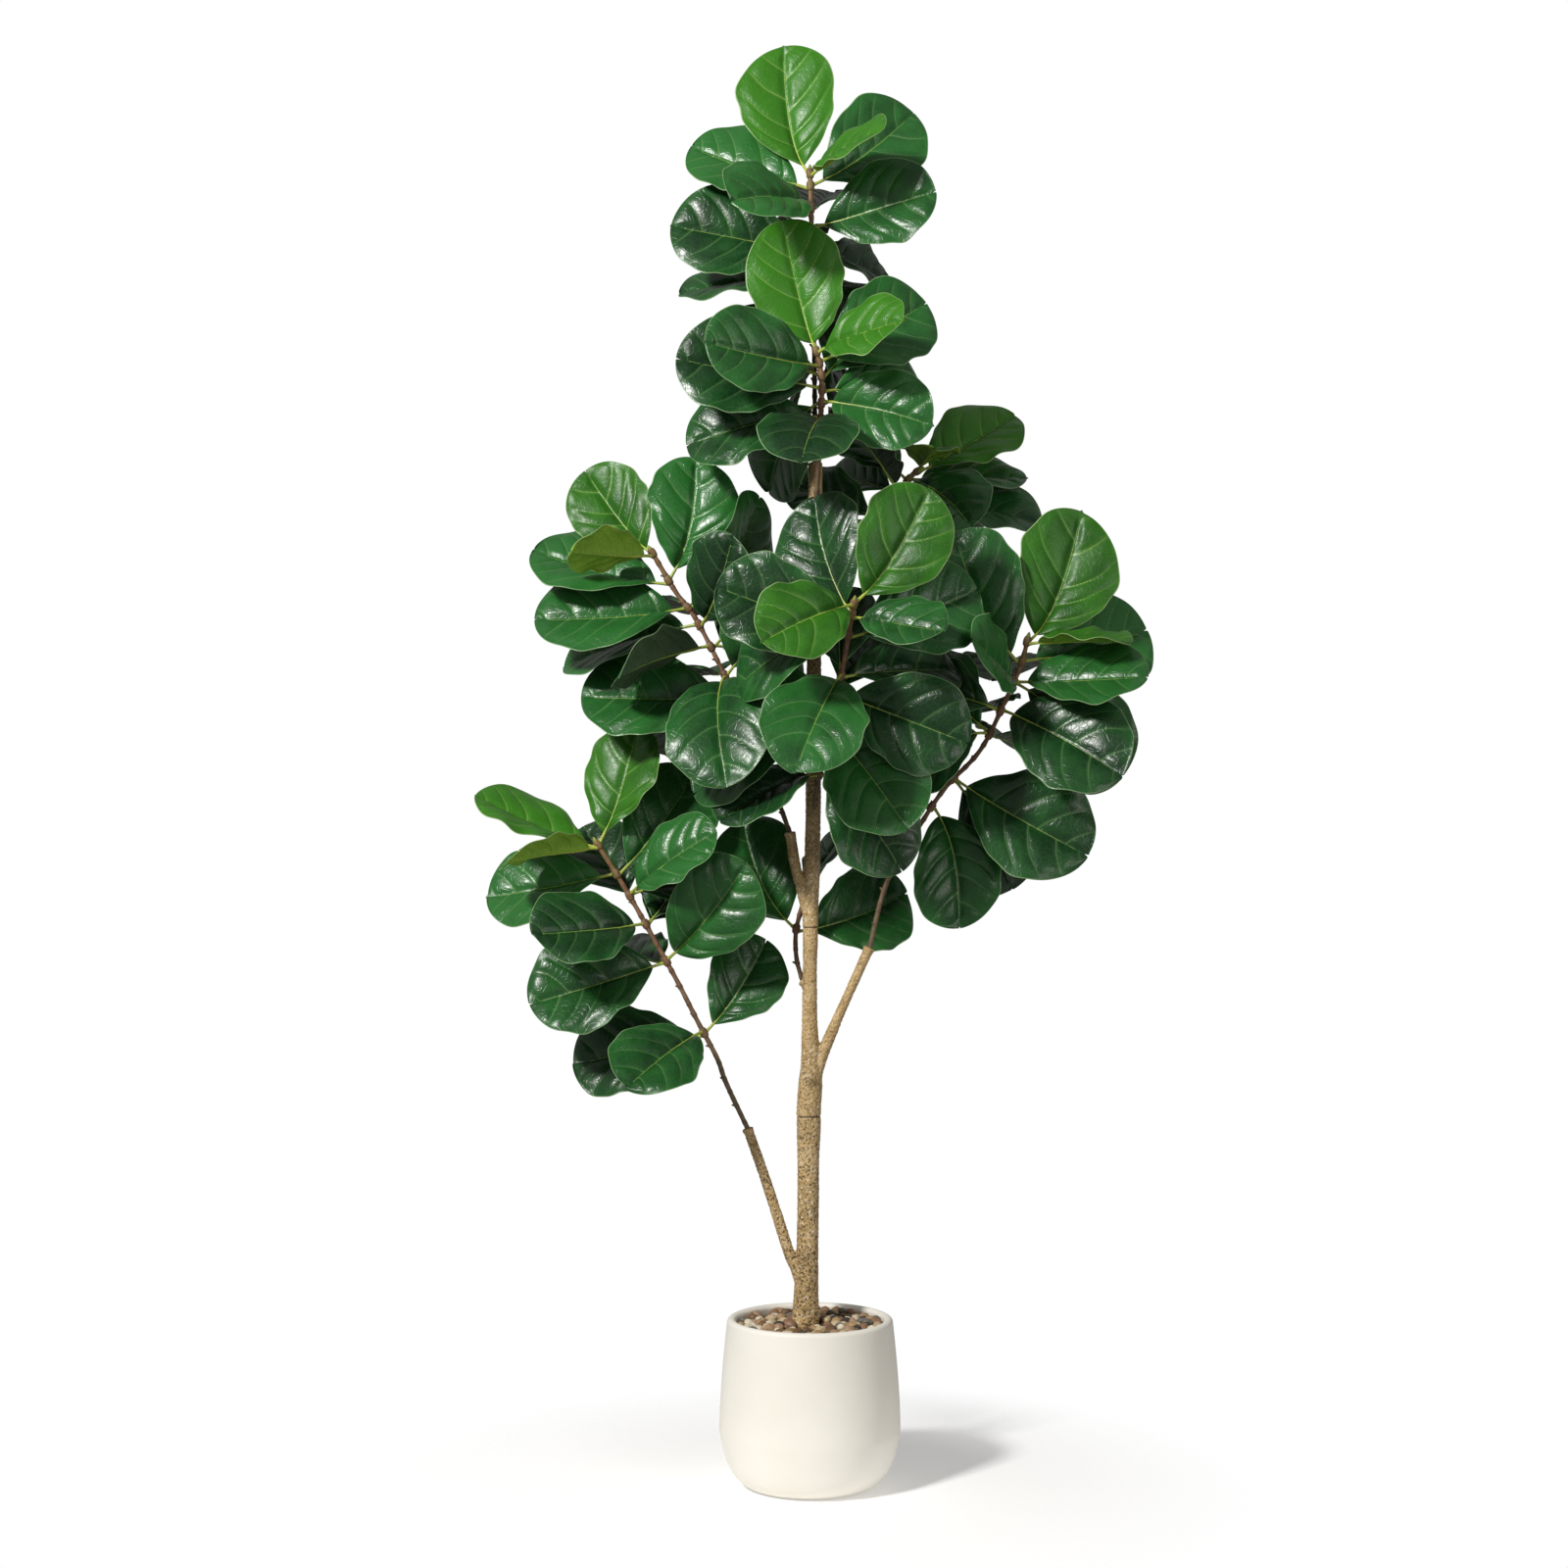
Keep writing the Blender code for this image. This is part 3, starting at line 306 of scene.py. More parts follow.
class Shader:
    """A material and short calls that add nodes to it."""

    def __init__(self, name, roughness, **constants):
        self.material = bpy.data.materials.new(name)
        self.material.use_nodes = True
        self.tree = self.material.node_tree
        self.bsdf = self.tree.nodes["Principled BSDF"]
        self.finish(Roughness=roughness, **constants)

    def put(self, socket, value):
        if isinstance(value, bpy.types.NodeSocket):
            self.tree.links.new(value, socket)
        elif isinstance(value, tuple) and socket.type == "RGBA":
            socket.default_value = (*value, 1.0)
        else:
            socket.default_value = value

    def finish(self, **inputs):
        for key, value in inputs.items():
            self.put(self.bsdf.inputs[key.replace("_", " ")], value)
        return self.material

    def add(self, kind, *values, **named):
        """A new node's outputs. Lower-case names are its settings, the others its sockets."""
        made = self.tree.nodes.new("ShaderNode" + kind)
        sockets = dict(enumerate(values))
        for key, value in named.items():
            if key[0].islower():
                setattr(made, key, value)
            else:
                sockets[key.replace("_", " ")] = value
        for key, value in sockets.items():
            self.put(made.inputs[key], value)
        return made.outputs

    def split(self, vector):
        return self.add("SeparateXYZ", vector)

    def attribute(self, name):
        return self.split(self.add("Attribute", attribute_name=name)["Vector"])

    def place(self):
        return self.add("TexCoord")["Object"]

    def math(self, operation, *values):
        return self.add("Math", *values, operation=operation)[0]

    def times(self, a, b):
        return self.math("MULTIPLY", a, b)

    def plus(self, a, b):
        return self.math("ADD", a, b)

    def scaled(self, vector, by):
        return self.add("VectorMath", vector, by, operation="MULTIPLY")[0]

    def step(self, value, low, high):
        """0 below low and 1 above high, smoothly. High may be the lower one."""
        turned = low > high
        return self.add(
            "MapRange", Value=value, From_Min=min(low, high), From_Max=max(low, high),
            To_Min=float(turned), To_Max=float(not turned), interpolation_type="SMOOTHSTEP",
        )["Result"]

    def noise(self, vector, scale, detail=3.0, roughness=0.55, distortion=0.0):
        return self.add(
            "TexNoise", Vector=vector, Scale=scale, Detail=detail,
            Roughness=roughness, Distortion=distortion,
        )["Fac"]

    def mix(self, share, a, b):
        made = self.tree.nodes.new("ShaderNodeMix")
        made.data_type = "RGBA"
        for number, value in ((0, share), (6, a), (7, b)):  # the colour sockets are 6 and 7
            self.put(made.inputs[number], value)
        return made.outputs[2]

    def ramp(self, value, stops, interpolation="LINEAR"):
        made = self.tree.nodes.new("ShaderNodeValToRGB")
        made.color_ramp.interpolation = interpolation
        while len(made.color_ramp.elements) < len(stops):
            made.color_ramp.elements.new(0.5)
        for element, (place, colour) in zip(made.color_ramp.elements, stops):
            element.position = place
            element.color = (*colour, 1.0)
        self.put(made.inputs[0], value)
        return made.outputs[0]

    def bump(self, height, distance, strength):
        return self.add("Bump", Height=height, Distance=distance, Strength=strength)[0]


def leaf_material(name, deep, fresh, under_deep, under_fresh, vein, rib, edge, roughness, gloss):
    """A moulded leaf. Attribute "leaf" is (place along, place across, vein count), and
    "part" is (underside, midrib or petiole, the leaf's own tone with painted shade: lower leaves darker)."""
    s = Shader(name, roughness, Specular_IOR_Level=gloss)
    along, across, veins = s.attribute("leaf")
    under, ribbed, tint_and_shade = s.attribute("part")
    out = s.math("ABSOLUTE", across)
    place = s.place()
    cloud = s.noise(place, 26.0, 3.0)
    fine = s.noise(place, 160.0, 4.0, 0.6)

    count = s.plus(veins, s.times(s.math("GREATER_THAN", across, 0.0), VEIN_SHIFT))
    count = s.plus(count, s.times(s.math("SUBTRACT", cloud, 0.5), 0.1))
    away = s.math("PINGPONG", count, 0.5)
    width = s.math("MULTIPLY_ADD", out, -0.018, 0.03)
    line = s.step(s.math("SUBTRACT", 1.0, s.math("DIVIDE", away, width)), -0.15, 0.55)
    line = s.times(line, s.step(out, 0.93, 0.7))
    line = s.times(line, s.step(along, 1.0, 0.93))
    net = s.add("TexVoronoi", feature="DISTANCE_TO_EDGE", Vector=place, Scale=135.0)["Distance"]
    net = s.step(net, 0.1, 0.02)

    # painted shade: leaves lower down get a lower value here and so take the darker colour
    mood = s.plus(tint_and_shade, s.times(s.math("SUBTRACT", cloud, 0.5), 0.9))
    upper = s.mix(s.step(mood, 0.05, 0.95), deep, fresh)
    upper = s.mix(s.times(s.step(out, 0.55, 1.0), 0.3), upper, fresh)
    upper = s.mix(s.times(s.step(away, 0.12, 0.01), 0.1), upper, vein)
    upper = s.mix(s.times(net, 0.04), upper, vein)
    shown = s.times(line, s.math("MULTIPLY_ADD", tint_and_shade, 0.4, 0.16))
    upper = s.mix(shown, upper, vein)
    lower = s.mix(s.step(mood, 0.05, 0.95), under_deep, under_fresh)
    lower = s.mix(s.times(net, 0.22), lower, tuple(c * 0.6 for c in under_deep))
    lower = s.mix(s.times(line, 0.5), lower, tuple(c * 1.5 for c in under_fresh))
    colour = s.mix(under, upper, lower)
    colour = s.mix(s.times(s.step(out, 0.978, 0.995), 0.75), colour, edge)
    shade = s.mix(s.step(along, 0.1, 0.75), rib, tuple(0.55 * r + 0.45 * v for r, v in zip(rib, vein)))
    colour = s.mix(ribbed, colour, shade)
    rough = s.math("MULTIPLY_ADD", fine, 0.16, roughness - 0.09)
    rough = s.plus(rough, s.times(under, 0.16))
    relief = s.plus(s.times(fine, 0.5), s.times(net, -0.35))
    return s.finish(Base_Color=colour, Roughness=rough, Normal=s.bump(relief, 0.0005, 0.6))


# Leaves.


def partners_of(points):
    """For each point, which other one is nearest and how far off it is."""
    gaps = norm(points[:, None] - points[None], axis=-1) + np.eye(len(points))
    return gaps.argmin(axis=1), gaps.min(axis=1)


def blades_of(node, stem_tree):
    """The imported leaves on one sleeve, each as (polynomial of its midrib, side, normal, half width)."""
    shape = bmesh.new()
    shape.from_mesh(frame["nodes"][node].data)
    bmesh.ops.remove_doubles(shape, verts=shape.verts, dist=1e-5)
    near = [v for v in shape.verts if stem_tree.find_nearest(v.co)[3] < SLEEVE_REACH]
    bmesh.ops.delete(shape, geom=near, context="VERTS")
    # a blade's points stand in pairs, one on each face; where two stalks cross they don't
    partner, gaps = partners_of(np.array([v.co for v in shape.verts]))
    paired = partner[partner] == np.arange(len(partner))
    paired &= np.abs(gaps - PACKED_THICKNESS) < PACKED_SLACK
    lone = [v for v, kept in zip(list(shape.verts), paired) if not kept]
    bmesh.ops.delete(shape, geom=lone, context="VERTS")
    left, found = set(shape.verts), []
    while left:
        island, edge = set(), [left.pop()]
        while edge:
            v = edge.pop()
            island.add(v)
            for link in v.link_edges:
                other = link.other_vert(v)
                if other in left:
                    left.remove(other)
                    edge.append(other)
        points = np.array([v.co for v in island])
        if len(points) != 6 * len(ROW_PLACES):  # three on each face in every row
            raise SystemExit(f"{node}: a blade has {len(points)} points")
        found.append(blade_from(points, stem_tree))
    shape.free()
    return sorted(found, key=lambda blade: -blade[0][:, 0][2])


def blade_from(points, stem_tree):
    partner, _ = partners_of(points)
    middles = np.array([(points[i] + points[j]) / 2 for i, j in enumerate(partner) if i < j])
    reach = np.array([stem_tree.find_nearest(Vector(p))[3] for p in middles])
    base = middles[np.argsort(reach)[:3]].mean(axis=0)
    far = norm(middles - base, axis=1)
    axis = unit(middles[np.argsort(far)[-3:]].mean(axis=0) - base)
    rows = middles[np.argsort((middles - base) @ axis)].reshape(-1, 3, 3)
    ordered = []
    for row in rows:
        spans = [norm(row[(k + 1) % 3] - row[(k + 2) % 3]) for k in range(3)]
        k = int(np.argmax(spans))
        ordered.append((row[(k + 1) % 3], row[k], row[(k + 2) % 3]))
    lifts = np.array([(a + c) / 2 - b for a, b, c in ordered])
    normal = unit(lifts.sum(axis=0))
    side = unit(np.cross(axis, normal))
    widest = ordered[3]
    side = unit((widest[2] - widest[0]) * np.sign((widest[2] - widest[0]) @ side))
    line = np.array([middle for _, middle, _ in ordered])
    powers = np.stack([np.ones_like(ROW_PLACES), ROW_PLACES, ROW_PLACES**2], -1)
    curve = np.linalg.lstsq(powers, line, rcond=None)[0]  # rows: start, slope, bend
    normal = unit(normal - side * (normal @ side))
    half = norm(widest[2] - widest[0]) / 2
    return curve.T, side, normal, half


def midrib_at(curve, t):
    return curve[:, 0] + np.outer(t, curve[:, 1]) + np.outer(t**2, curve[:, 2])


class FineLeaf:
    """The fine leaf's surface over one packed blade."""

    def __init__(self, blade, rng):
        self.curve, self.side, self.normal, self.half = blade
        self.length = norm(midrib_at(self.curve, np.array([1.0])) - self.curve[:, 0])
        self.base_power = rng.uniform(0.7, 0.98)
        self.edge = [
            [
                (rng.uniform(0.008, 0.026), f + rng.uniform(-0.3, 0.3), rng.uniform(0, tau))
                for f in (1.6, 3.1, 5.2)
            ]
            for _ in range(2)
        ]
        self.wave = [
            (rng.uniform(0.7, 1.5), rng.uniform(2.2, 3.6), rng.uniform(0, tau)) for _ in range(2)
        ]
        self.gull = rng.uniform(0.75, 1.15)
        self.notch = rng.uniform(-0.003, 0.0065)
        self.curl = rng.uniform(-0.1, 0.2)
        self.phase = rng.uniform(-0.12, 0.12)
        self.drift = rng.uniform(0.08, 0.24)
        self.tint_and_shade = rng.uniform(0.0, 1.0)
        self.quilt = rng.uniform(0.0015, 0.0027)
        self.crinkle = [
            (rng.uniform(60, 170), rng.uniform(60, 170), rng.uniform(0, tau), rng.uniform(0, tau))
            for _ in range(5)
        ]

    def width_share(self, t):
        low = np.clip((t - BLADE_START) / (BLADE_WIDEST - BLADE_START), 1e-4, 1.0)
        body = np.sin(low * pi / 2) ** self.base_power
        past = np.clip((t - BLADE_WIDEST) / TIP_REACH, 0.0, 1.0)
        return np.where(t < BLADE_WIDEST, body, np.sqrt(np.maximum(1 - past**2, 0.0)))

    def vein_count(self, t, v):
        """How many veins lie between the base and this place, counted on the curved veins."""
        sideways = np.abs(v) * self.width_share(t) * self.half
        sweep = (0.44 * sideways + 0.56 * sideways**2 / self.half) / self.length
        place = (t - BLADE_START) / (1 - BLADE_START) - sweep
        drift = self.drift * np.sin(place * 9.0 + self.phase * 40) - 0.9 * place * (1 - place)
        return place * VEINS + drift + self.phase

    def height(self, t, v, under):
        """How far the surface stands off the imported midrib's plane, along the normal."""
        out = np.abs(v)
        sideways = v * self.width_share(t) * self.half
        lift = np.interp(t, ROW_PLACES, [0.6, 0.36, 0.24, 0.18, 0.14, 0.12])
        fold = (1 + self.gull) * out - self.gull * out**2
        z = np.abs(sideways) * lift * np.where(out > 0, fold / np.maximum(out, 1e-6), 1 + self.gull)
        for number, picked in enumerate((v < 0, v >= 0)):
            strength, turns, start = self.wave[number]
            swing = np.sin(t * turns * tau + start) * out**2.6 * 0.0027 * strength
            z = z + np.where(picked, swing, 0.0) * smoothstep(BLADE_START, 0.4, t)
        z = z - self.curl * np.maximum(t - 0.55, 0.0) ** 2 * self.length
        count = self.vein_count(t, v) + np.where(v > 0, VEIN_SHIFT, 0.0)
        away = np.abs(count - np.round(count))
        inside = smoothstep(0.02, 0.16, out) * (1 - smoothstep(0.66, 0.97, out))
        taper = smoothstep(BLADE_START, 0.28, t) * (1 - smoothstep(0.93, 1.0, t))
        pillow = 1 - (1 - 2 * away) ** 3.2
        z = z + self.quilt * pillow * inside * taper
        groove = bell(away, 0.055) * (1 - smoothstep(0.7, 0.95, out)) * taper
        z = z - (0.0011 if under else 0.0006) * groove
        z = z - 0.0012 * bell(sideways, 0.004) * taper
        ripple = sum(
            np.sin(sideways * a + p) * np.sin(t * self.length * b + q) for a, b, p, q in self.crinkle
        )
        return z + 0.00013 * ripple * inside

    def surface(self, t, v, under=False):
        """Points for places along (0 to 1) and across (-1 to 1)."""
        half = self.width_share(t) * self.half
        for number, picked in enumerate((v < 0, v >= 0)):
            waves = sum(a * np.sin(t * f * tau + p) for a, f, p in self.edge[number])
            half = np.where(picked, half * (1 + waves), half)
        middle = midrib_at(self.curve, t.reshape(-1)).reshape(*t.shape, 3)
        ahead = unit(self.curve[:, 1] + 2 * self.curve[:, 2])
        notch = self.notch * bell(v, 0.28) * smoothstep(0.93, 1.01, t)
        z = self.height(t, v, under) - (LEAF_THICKNESS if under else 0.0)
        across = middle + (v * half)[..., None] * self.side
        return across + z[..., None] * self.normal - notch[..., None] * ahead


def leaf_rows():
    body = np.linspace(BLADE_START, BLADE_WIDEST, ROWS_TO_WIDEST, endpoint=False)
    turns = np.linspace(0, math.radians(87.5), ROWS_TO_TIP)
    return np.concatenate([body, BLADE_WIDEST + TIP_REACH * np.sin(turns)])


def leaf_columns():
    out = np.sin(np.linspace(0, 1, COLUMNS + 1) * pi / 2 * 0.82) / math.sin(pi / 2 * 0.82)
    out = 0.55 * out + 0.45 * np.linspace(0, 1, COLUMNS + 1)
    return np.concatenate([-out[:0:-1], out])


def add_blade(parts, leaf):
    """The blade as one closed shell with a rounded edge."""
    t, v = np.meshgrid(leaf_rows(), leaf_columns(), indexing="ij")
    rows, columns = t.shape
    top, low = leaf.surface(t, v), leaf.surface(t, v, True)
    index = np.arange(rows * columns).reshape(rows, columns)
    quads = np.stack([index[:-1, :-1], index[:-1, 1:], index[1:, 1:], index[1:, :-1]], -1).reshape(-1, 4)
    border = np.concatenate([index[0, :-1], index[:-1, -1], index[-1, :0:-1], index[:0:-1, 0]])
    flat_top, flat_low = top.reshape(-1, 3), low.reshape(-1, 3)
    middle = (flat_top[border] + flat_low[border]) / 2
    centre = midrib_at(leaf.curve, np.clip(t.reshape(-1)[border], 0.2, 0.9))
    away = middle - centre
    away -= np.outer(away @ leaf.normal, leaf.normal)
    away /= np.maximum(norm(away, axis=1), 1e-9)[:, None]
    rim = middle + away * LEAF_THICKNESS * 0.45
    count = rows * columns
    after = np.roll(np.arange(len(border)), -1)
    first = 2 * count + np.arange(len(border))
    rim_quads = np.concatenate([
        np.stack([border, first, first[after], border[after]], -1),
        np.stack([first, border + count, border[after] + count, first[after]], -1),
    ])
    places = np.stack([t, v, leaf.vein_count(t, v)], -1).reshape(-1, 3)
    sides = [np.tile([0.0, 0.0, leaf.tint_and_shade], (count, 1)), np.tile([1.0, 0.0, leaf.tint_and_shade], (count, 1))]
    sides.append(np.tile([0.4, 0.0, leaf.tint_and_shade], (len(border), 1)))
    rim_places = places[border].copy()
    rim_places[:, 1] = np.sign(rim_places[:, 1] + 1e-6)
    parts.add(
        np.concatenate([flat_top, flat_low, rim]),
        [np.concatenate([quads, quads[:, ::-1] + count, rim_quads])],
        leaf=np.concatenate([places, places, rim_places]),
        part=np.concatenate(sides),
    )


def add_midrib(parts, leaf, outward):
    """The petiole, which runs on under the blade as its midrib."""
    foot = leaf.curve[:, 0]
    stalk, rib = np.linspace(0.0, BLADE_START, 9)[:-1], np.linspace(BLADE_START, 0.935, 40)
    t = np.concatenate([[-0.01], stalk, rib])
    line = midrib_at(leaf.curve, np.maximum(t, 0.0))
    line[0] = foot - outward * 0.0022
    radius = np.interp(
        t, [-0.01, 0.0, 0.03, 0.1, 0.16, 0.3, 0.6, 0.975],
        [0.0028, 0.0026, 0.002, 0.00185, 0.0019, 0.0014, 0.0009, 0.00035],
    )
    proud = np.interp(t, [0.1, 0.16, 0.5, 0.975], [0.0016, 0.0009, 0.0004, 0.0001])
    sunk = leaf.height(np.maximum(t, BLADE_START), np.zeros_like(t), False) + proud - radius
    line = line + (sunk * smoothstep(0.07, 0.16, t))[:, None] * leaf.normal
    rings = tube_points(line, radius, MIDRIB_SIDES, leaf.side)
    below = ((rings - line[:, None]) @ leaf.normal < 0).astype(float)  # 1 on the half under the blade
    ones = np.ones_like(below)
    place = np.stack([t[:, None] * ones, 0 * ones, 0.5 * ones], -1)
    part = np.stack([below, ones, leaf.tint_and_shade * ones], -1)
    faces = ring_faces(len(t), MIDRIB_SIDES)
    parts.add(rings, faces, leaf=place.reshape(-1, 3), part=part.reshape(-1, 3))


def stem_node(spray):
    return "inner_twig" if spray == "inner" else f"{spray}_stem"


def stem_tree_of(spray):
    data = frame["nodes"][stem_node(spray)].data
    data.calc_loop_triangles()
    triangles = [t.vertices for t in data.loop_triangles]
    return BVHTree.FromPolygons([v.co for v in data.vertices], triangles)


def make_leaves(spray, materials):
    """Every leaf of a spray as its own piece. Returns where the sleeves' middles stand."""
    tree = stem_tree_of(spray)
    line, places = stem_line(spray, 0.001)
    sleeves = []
    slots = {part["node"]: part["material_slot"] for part in frame["record"]["subparts"]}
    for node in sorted(name for name in frame["nodes"] if name.startswith(f"{spray}_leaves_")):
        slot = slots[node]
        feet = []
        group = int(node.rsplit("_", 1)[1])
        for letter, blade in zip("abcd", blades_of(node, tree)):
            name = node.replace("leaves", "leaf") + letter
            leaf = FineLeaf(blade, seeded(name))
            leaf.tint_and_shade = np.clip(leaf.tint_and_shade * 0.75 + 0.35 - 0.07 * group, 0.0, 1.0)  # painted shade: lower groups of leaves are made darker, for the shade of the leaves above
            foot = leaf.curve[:, 0]
            nearest = int(np.argmin(norm(line - foot, axis=1)))
            feet.append(places[nearest])
            parts = Parts()
            add_blade(parts, leaf)
            add_midrib(parts, leaf, unit(foot - line[nearest]))
            settle(parts.build(name), materials[slot], node)
        sleeves.append((node, np.mean(feet)))
    return sleeves


# Stems.


def stem_material():
    """Attribute "stem" is (place along, nearness to a sleeve or scar, nothing)."""
    s = Shader("stem", 0.6)
    along, scar, _ = s.attribute("stem")
    place = s.place()
    grain = s.noise(s.scaled(place, (1.0, 1.0, 0.3)), 420.0, 4.0, 0.65)
    cloud = s.noise(place, 55.0, 2.0)
    drift = s.times(s.math("SUBTRACT", cloud, 0.5), 0.3)
    blend = s.plus(s.times(along, 0.78), drift)
    colour = s.ramp(
        blend,
        [(0.0, (0.18, 0.13, 0.068)), (0.25, (0.165, 0.1, 0.052)), (0.6, (0.24, 0.115, 0.058)),
         (0.76, (0.24, 0.13, 0.05)), (1.0, (0.26, 0.33, 0.055))],
    )
    colour = s.mix(s.step(grain, 0.4, 0.58), s.mix(0.38, colour, (0.03, 0.018, 0.01)), colour)
    colour = s.mix(s.times(s.step(cloud, 0.52, 0.75), 0.45), colour, (0.24, 0.17, 0.09))
    colour = s.mix(s.times(scar, 0.55), colour, (0.052, 0.03, 0.016))
    rough = s.math("MULTIPLY_ADD", grain, 0.3, 0.42)
    return s.finish(Base_Color=colour, Roughness=rough, Normal=s.bump(grain, 0.0012, 0.7))


def make_stem(spray, sleeves, material):
    """A stem with its scars, the collars that the leaves sit on, side buds and a bud at its tip."""
    line, places = stem_line(spray)
    rng = seeded(spray + "_stem")
    length = places[-1]
    share = places / length
    radius = np.full(len(places), STEM_RADIUS)
    scar = np.zeros(len(places))
    marks = np.arange(SCAR_START, length, SCAR_STEP)
    marks += rng.uniform(-SCAR_STRAY, SCAR_STRAY, len(marks))
    for mark in marks:
        near = bell(places - mark, 0.0022)
        radius += 0.00055 * near
        scar = np.maximum(scar, near * 0.7)
    radius *= 1 + 0.05 * np.sin(places * 310 + rng.uniform(0, 6))
    radius[-3:] *= [0.92, 0.78, 0.5]
    rough = rng.standard_normal((len(places), STEM_SIDES)).cumsum(axis=0).clip(-1.5, 1.5)
    parts = Parts()
    parts.add(
        tube_points(line, radius, STEM_SIDES, RING_START, 1 + 0.035 * rough),
        ring_faces(len(places), STEM_SIDES),
        stem=np.repeat(np.stack([share, scar, 0 * share], -1), STEM_SIDES, axis=0),
    )
    # side buds
    for mark in marks[1:-1:2]:
        index = int(np.argmin(np.abs(places - mark)))
        turn = rng.uniform(0, tau)
        way = unit(line[min(index + 2, len(line) - 1)] - line[index - 2])
        side = unit(np.cross(way, (math.cos(turn), 1.0, math.sin(turn))))
        start, end = line[index], line[index] + side * 0.0062 + way * 0.0038
        run = np.linspace(0, 1, 8)
        bud = start + np.outer(run, end - start)
        widths = 0.0019 * np.sqrt(np.clip(1.02 - run**2, 0.03, 1))
        parts.add(tube_points(bud, widths, 10, way), ring_faces(8, 10), stem=(share[index], 0.8, 0.0))
    # the bud at the tip
    way = unit(line[-1] - line[-4])
    run = np.linspace(0, 1, 14)
    bud = line[-3] + np.outer(run, way) * 0.0105
    widths = 0.0029 * np.sin(np.clip(0.3 + run * 0.7, 0, 1) * pi) ** 0.75 + 0.0002
    parts.add(tube_points(bud, widths, 12, RING_START), ring_faces(14, 12), stem=(1.3, 0.0, 0.0))
    settle(parts.build(f"{stem_node(spray)}_fine"), material, stem_node(spray))

    for group, middle in sleeves:
        run = np.linspace(-COLLAR_REACH, COLLAR_REACH, 15)
        middle = min(middle, length - COLLAR_REACH)
        spots = np.stack([np.interp(middle + run, places, c) for c in line.T], -1)
        swell = STEM_RADIUS + 0.0006 + 0.0016 * (1 - (run / COLLAR_REACH) ** 2) ** 0.6
        wobble = 1 + 0.03 * rng.standard_normal((15, 18))
        collar = Parts()
        collar.add(
            tube_points(spots, swell, 18, RING_START, wobble), ring_faces(15, 18),
            stem=(min(1.0, middle / length + 0.1), 0.35, 0.0),
        )
        settle(collar.build(group.replace("leaves", "collar")), material, group)


# Trunk.


def bark_material():
    s = Shader("bark", 0.62)
    place = s.place()
    tall = s.scaled(place, (1.0, 1.0, 0.55))
    cloud = s.noise(place, 38.0, 3.0)
    broad = s.noise(place, 11.0, 2.0)
    grain = s.noise(tall, 430.0, 5.0, 0.62, 0.6)
    strokes = s.noise(s.scaled(place, (1.0, 1.0, 0.8)), 380.0, 3.0, 0.6, 1.0)
    worn_and_glint = s.noise(tall, 330.0, 3.0, 0.5)
    colour = s.ramp(
        s.plus(s.times(cloud, 0.6), s.times(grain, 0.4)),
        [(0.3, (0.27, 0.18, 0.07)), (0.48, (0.48, 0.325, 0.14)), (0.66, (0.66, 0.48, 0.25))],
    )
    seam_and_knot_dark, pit, _ = s.attribute("bark")
    fleck = s.math("MAXIMUM", s.step(strokes, 0.42, 0.34), s.step(pit, 0.12, 0.34))
    rugged = s.step(s.split(place)["Z"], 0.66, 0.3)  # roughest towards the foot
    fleck = s.times(fleck, s.math("MULTIPLY_ADD", rugged, 0.6, 0.22))
    colour = s.mix(fleck, colour, (0.075, 0.042, 0.018))
    # cream specks: partly wear on the bark and partly painted highlights on its relief
    pale = s.times(s.step(worn_and_glint, 0.55, 0.64), s.step(broad, 0.38, 0.6))
    colour = s.mix(s.times(pale, 0.65), colour, (0.86, 0.76, 0.58))
    # darker in the seam grooves and round the knot stubs
    colour = s.mix(s.times(seam_and_knot_dark, 0.85), colour, (0.05, 0.03, 0.016))
    rough = s.math("MULTIPLY_ADD", grain, 0.3, 0.24)
    relief = s.math("SUBTRACT", s.times(grain, 0.45), s.times(fleck, 0.8))
    return s.finish(Base_Color=colour, Roughness=rough, Normal=s.bump(relief, 0.0022, 0.9))


def read_vectors(collection, key):
    flat = np.empty(len(collection) * 3, np.float32)
    collection.foreach_get(key, flat)
    return flat.reshape(-1, 3).astype(float)


def limb(parts, rows, sides):
    """A closed tube along rows of (x, y, z, radius)."""
    rows = np.asarray(rows, float)
    parts.add(tube_points(rows[:, :3], rows[:, 3], sides, (0.0, 1.0, 0.0)), ring_faces(len(rows), sides))


def trunk_rows(rows, low, high):
    kept = [row for row in rows if low + 0.003 < row[0] < high - 0.003]
    first, last = (low, *rows[0][1:]), (high, *rows[-1][1:])
    points = [(side, 0.0, row_frame(height), radius) for height, side, radius in [first, *kept, last]]
    return evenly(spline(points), 0.003)[0]


def arm_rows(route):
    points = [(side, 0.0, row_frame(height), radius) for side, height, radius in route]
    rows = evenly(spline(points), 0.003)[0]
    ahead = unit(rows[-1, :3] - rows[-4, :3])
    # the socket's swollen lip
    from_end = norm(rows[:, :3] - rows[-1, :3], axis=1)
    rows[:, 3] += 0.0012 * bell(from_end, 0.005)
    lip = np.array([[*(rows[-1, :3] + ahead * 0.0012), rows[-1, 3] * 0.8]])
    return np.vstack([rows, lip])


def knot(parts, centre, toward, radius, reach):
    """The stub of a branch that was cut off."""
    toward = unit(np.asarray(toward, float))
    run = np.linspace(0, 1, 9)
    line = np.asarray(centre, float) + np.outer(run, toward) * reach
    widths = radius * np.interp(run, [0, 0.55, 0.85, 1.0], [1.35, 0.95, 1.1, 0.65])
    limb(parts, np.column_stack([line, widths]), 16)


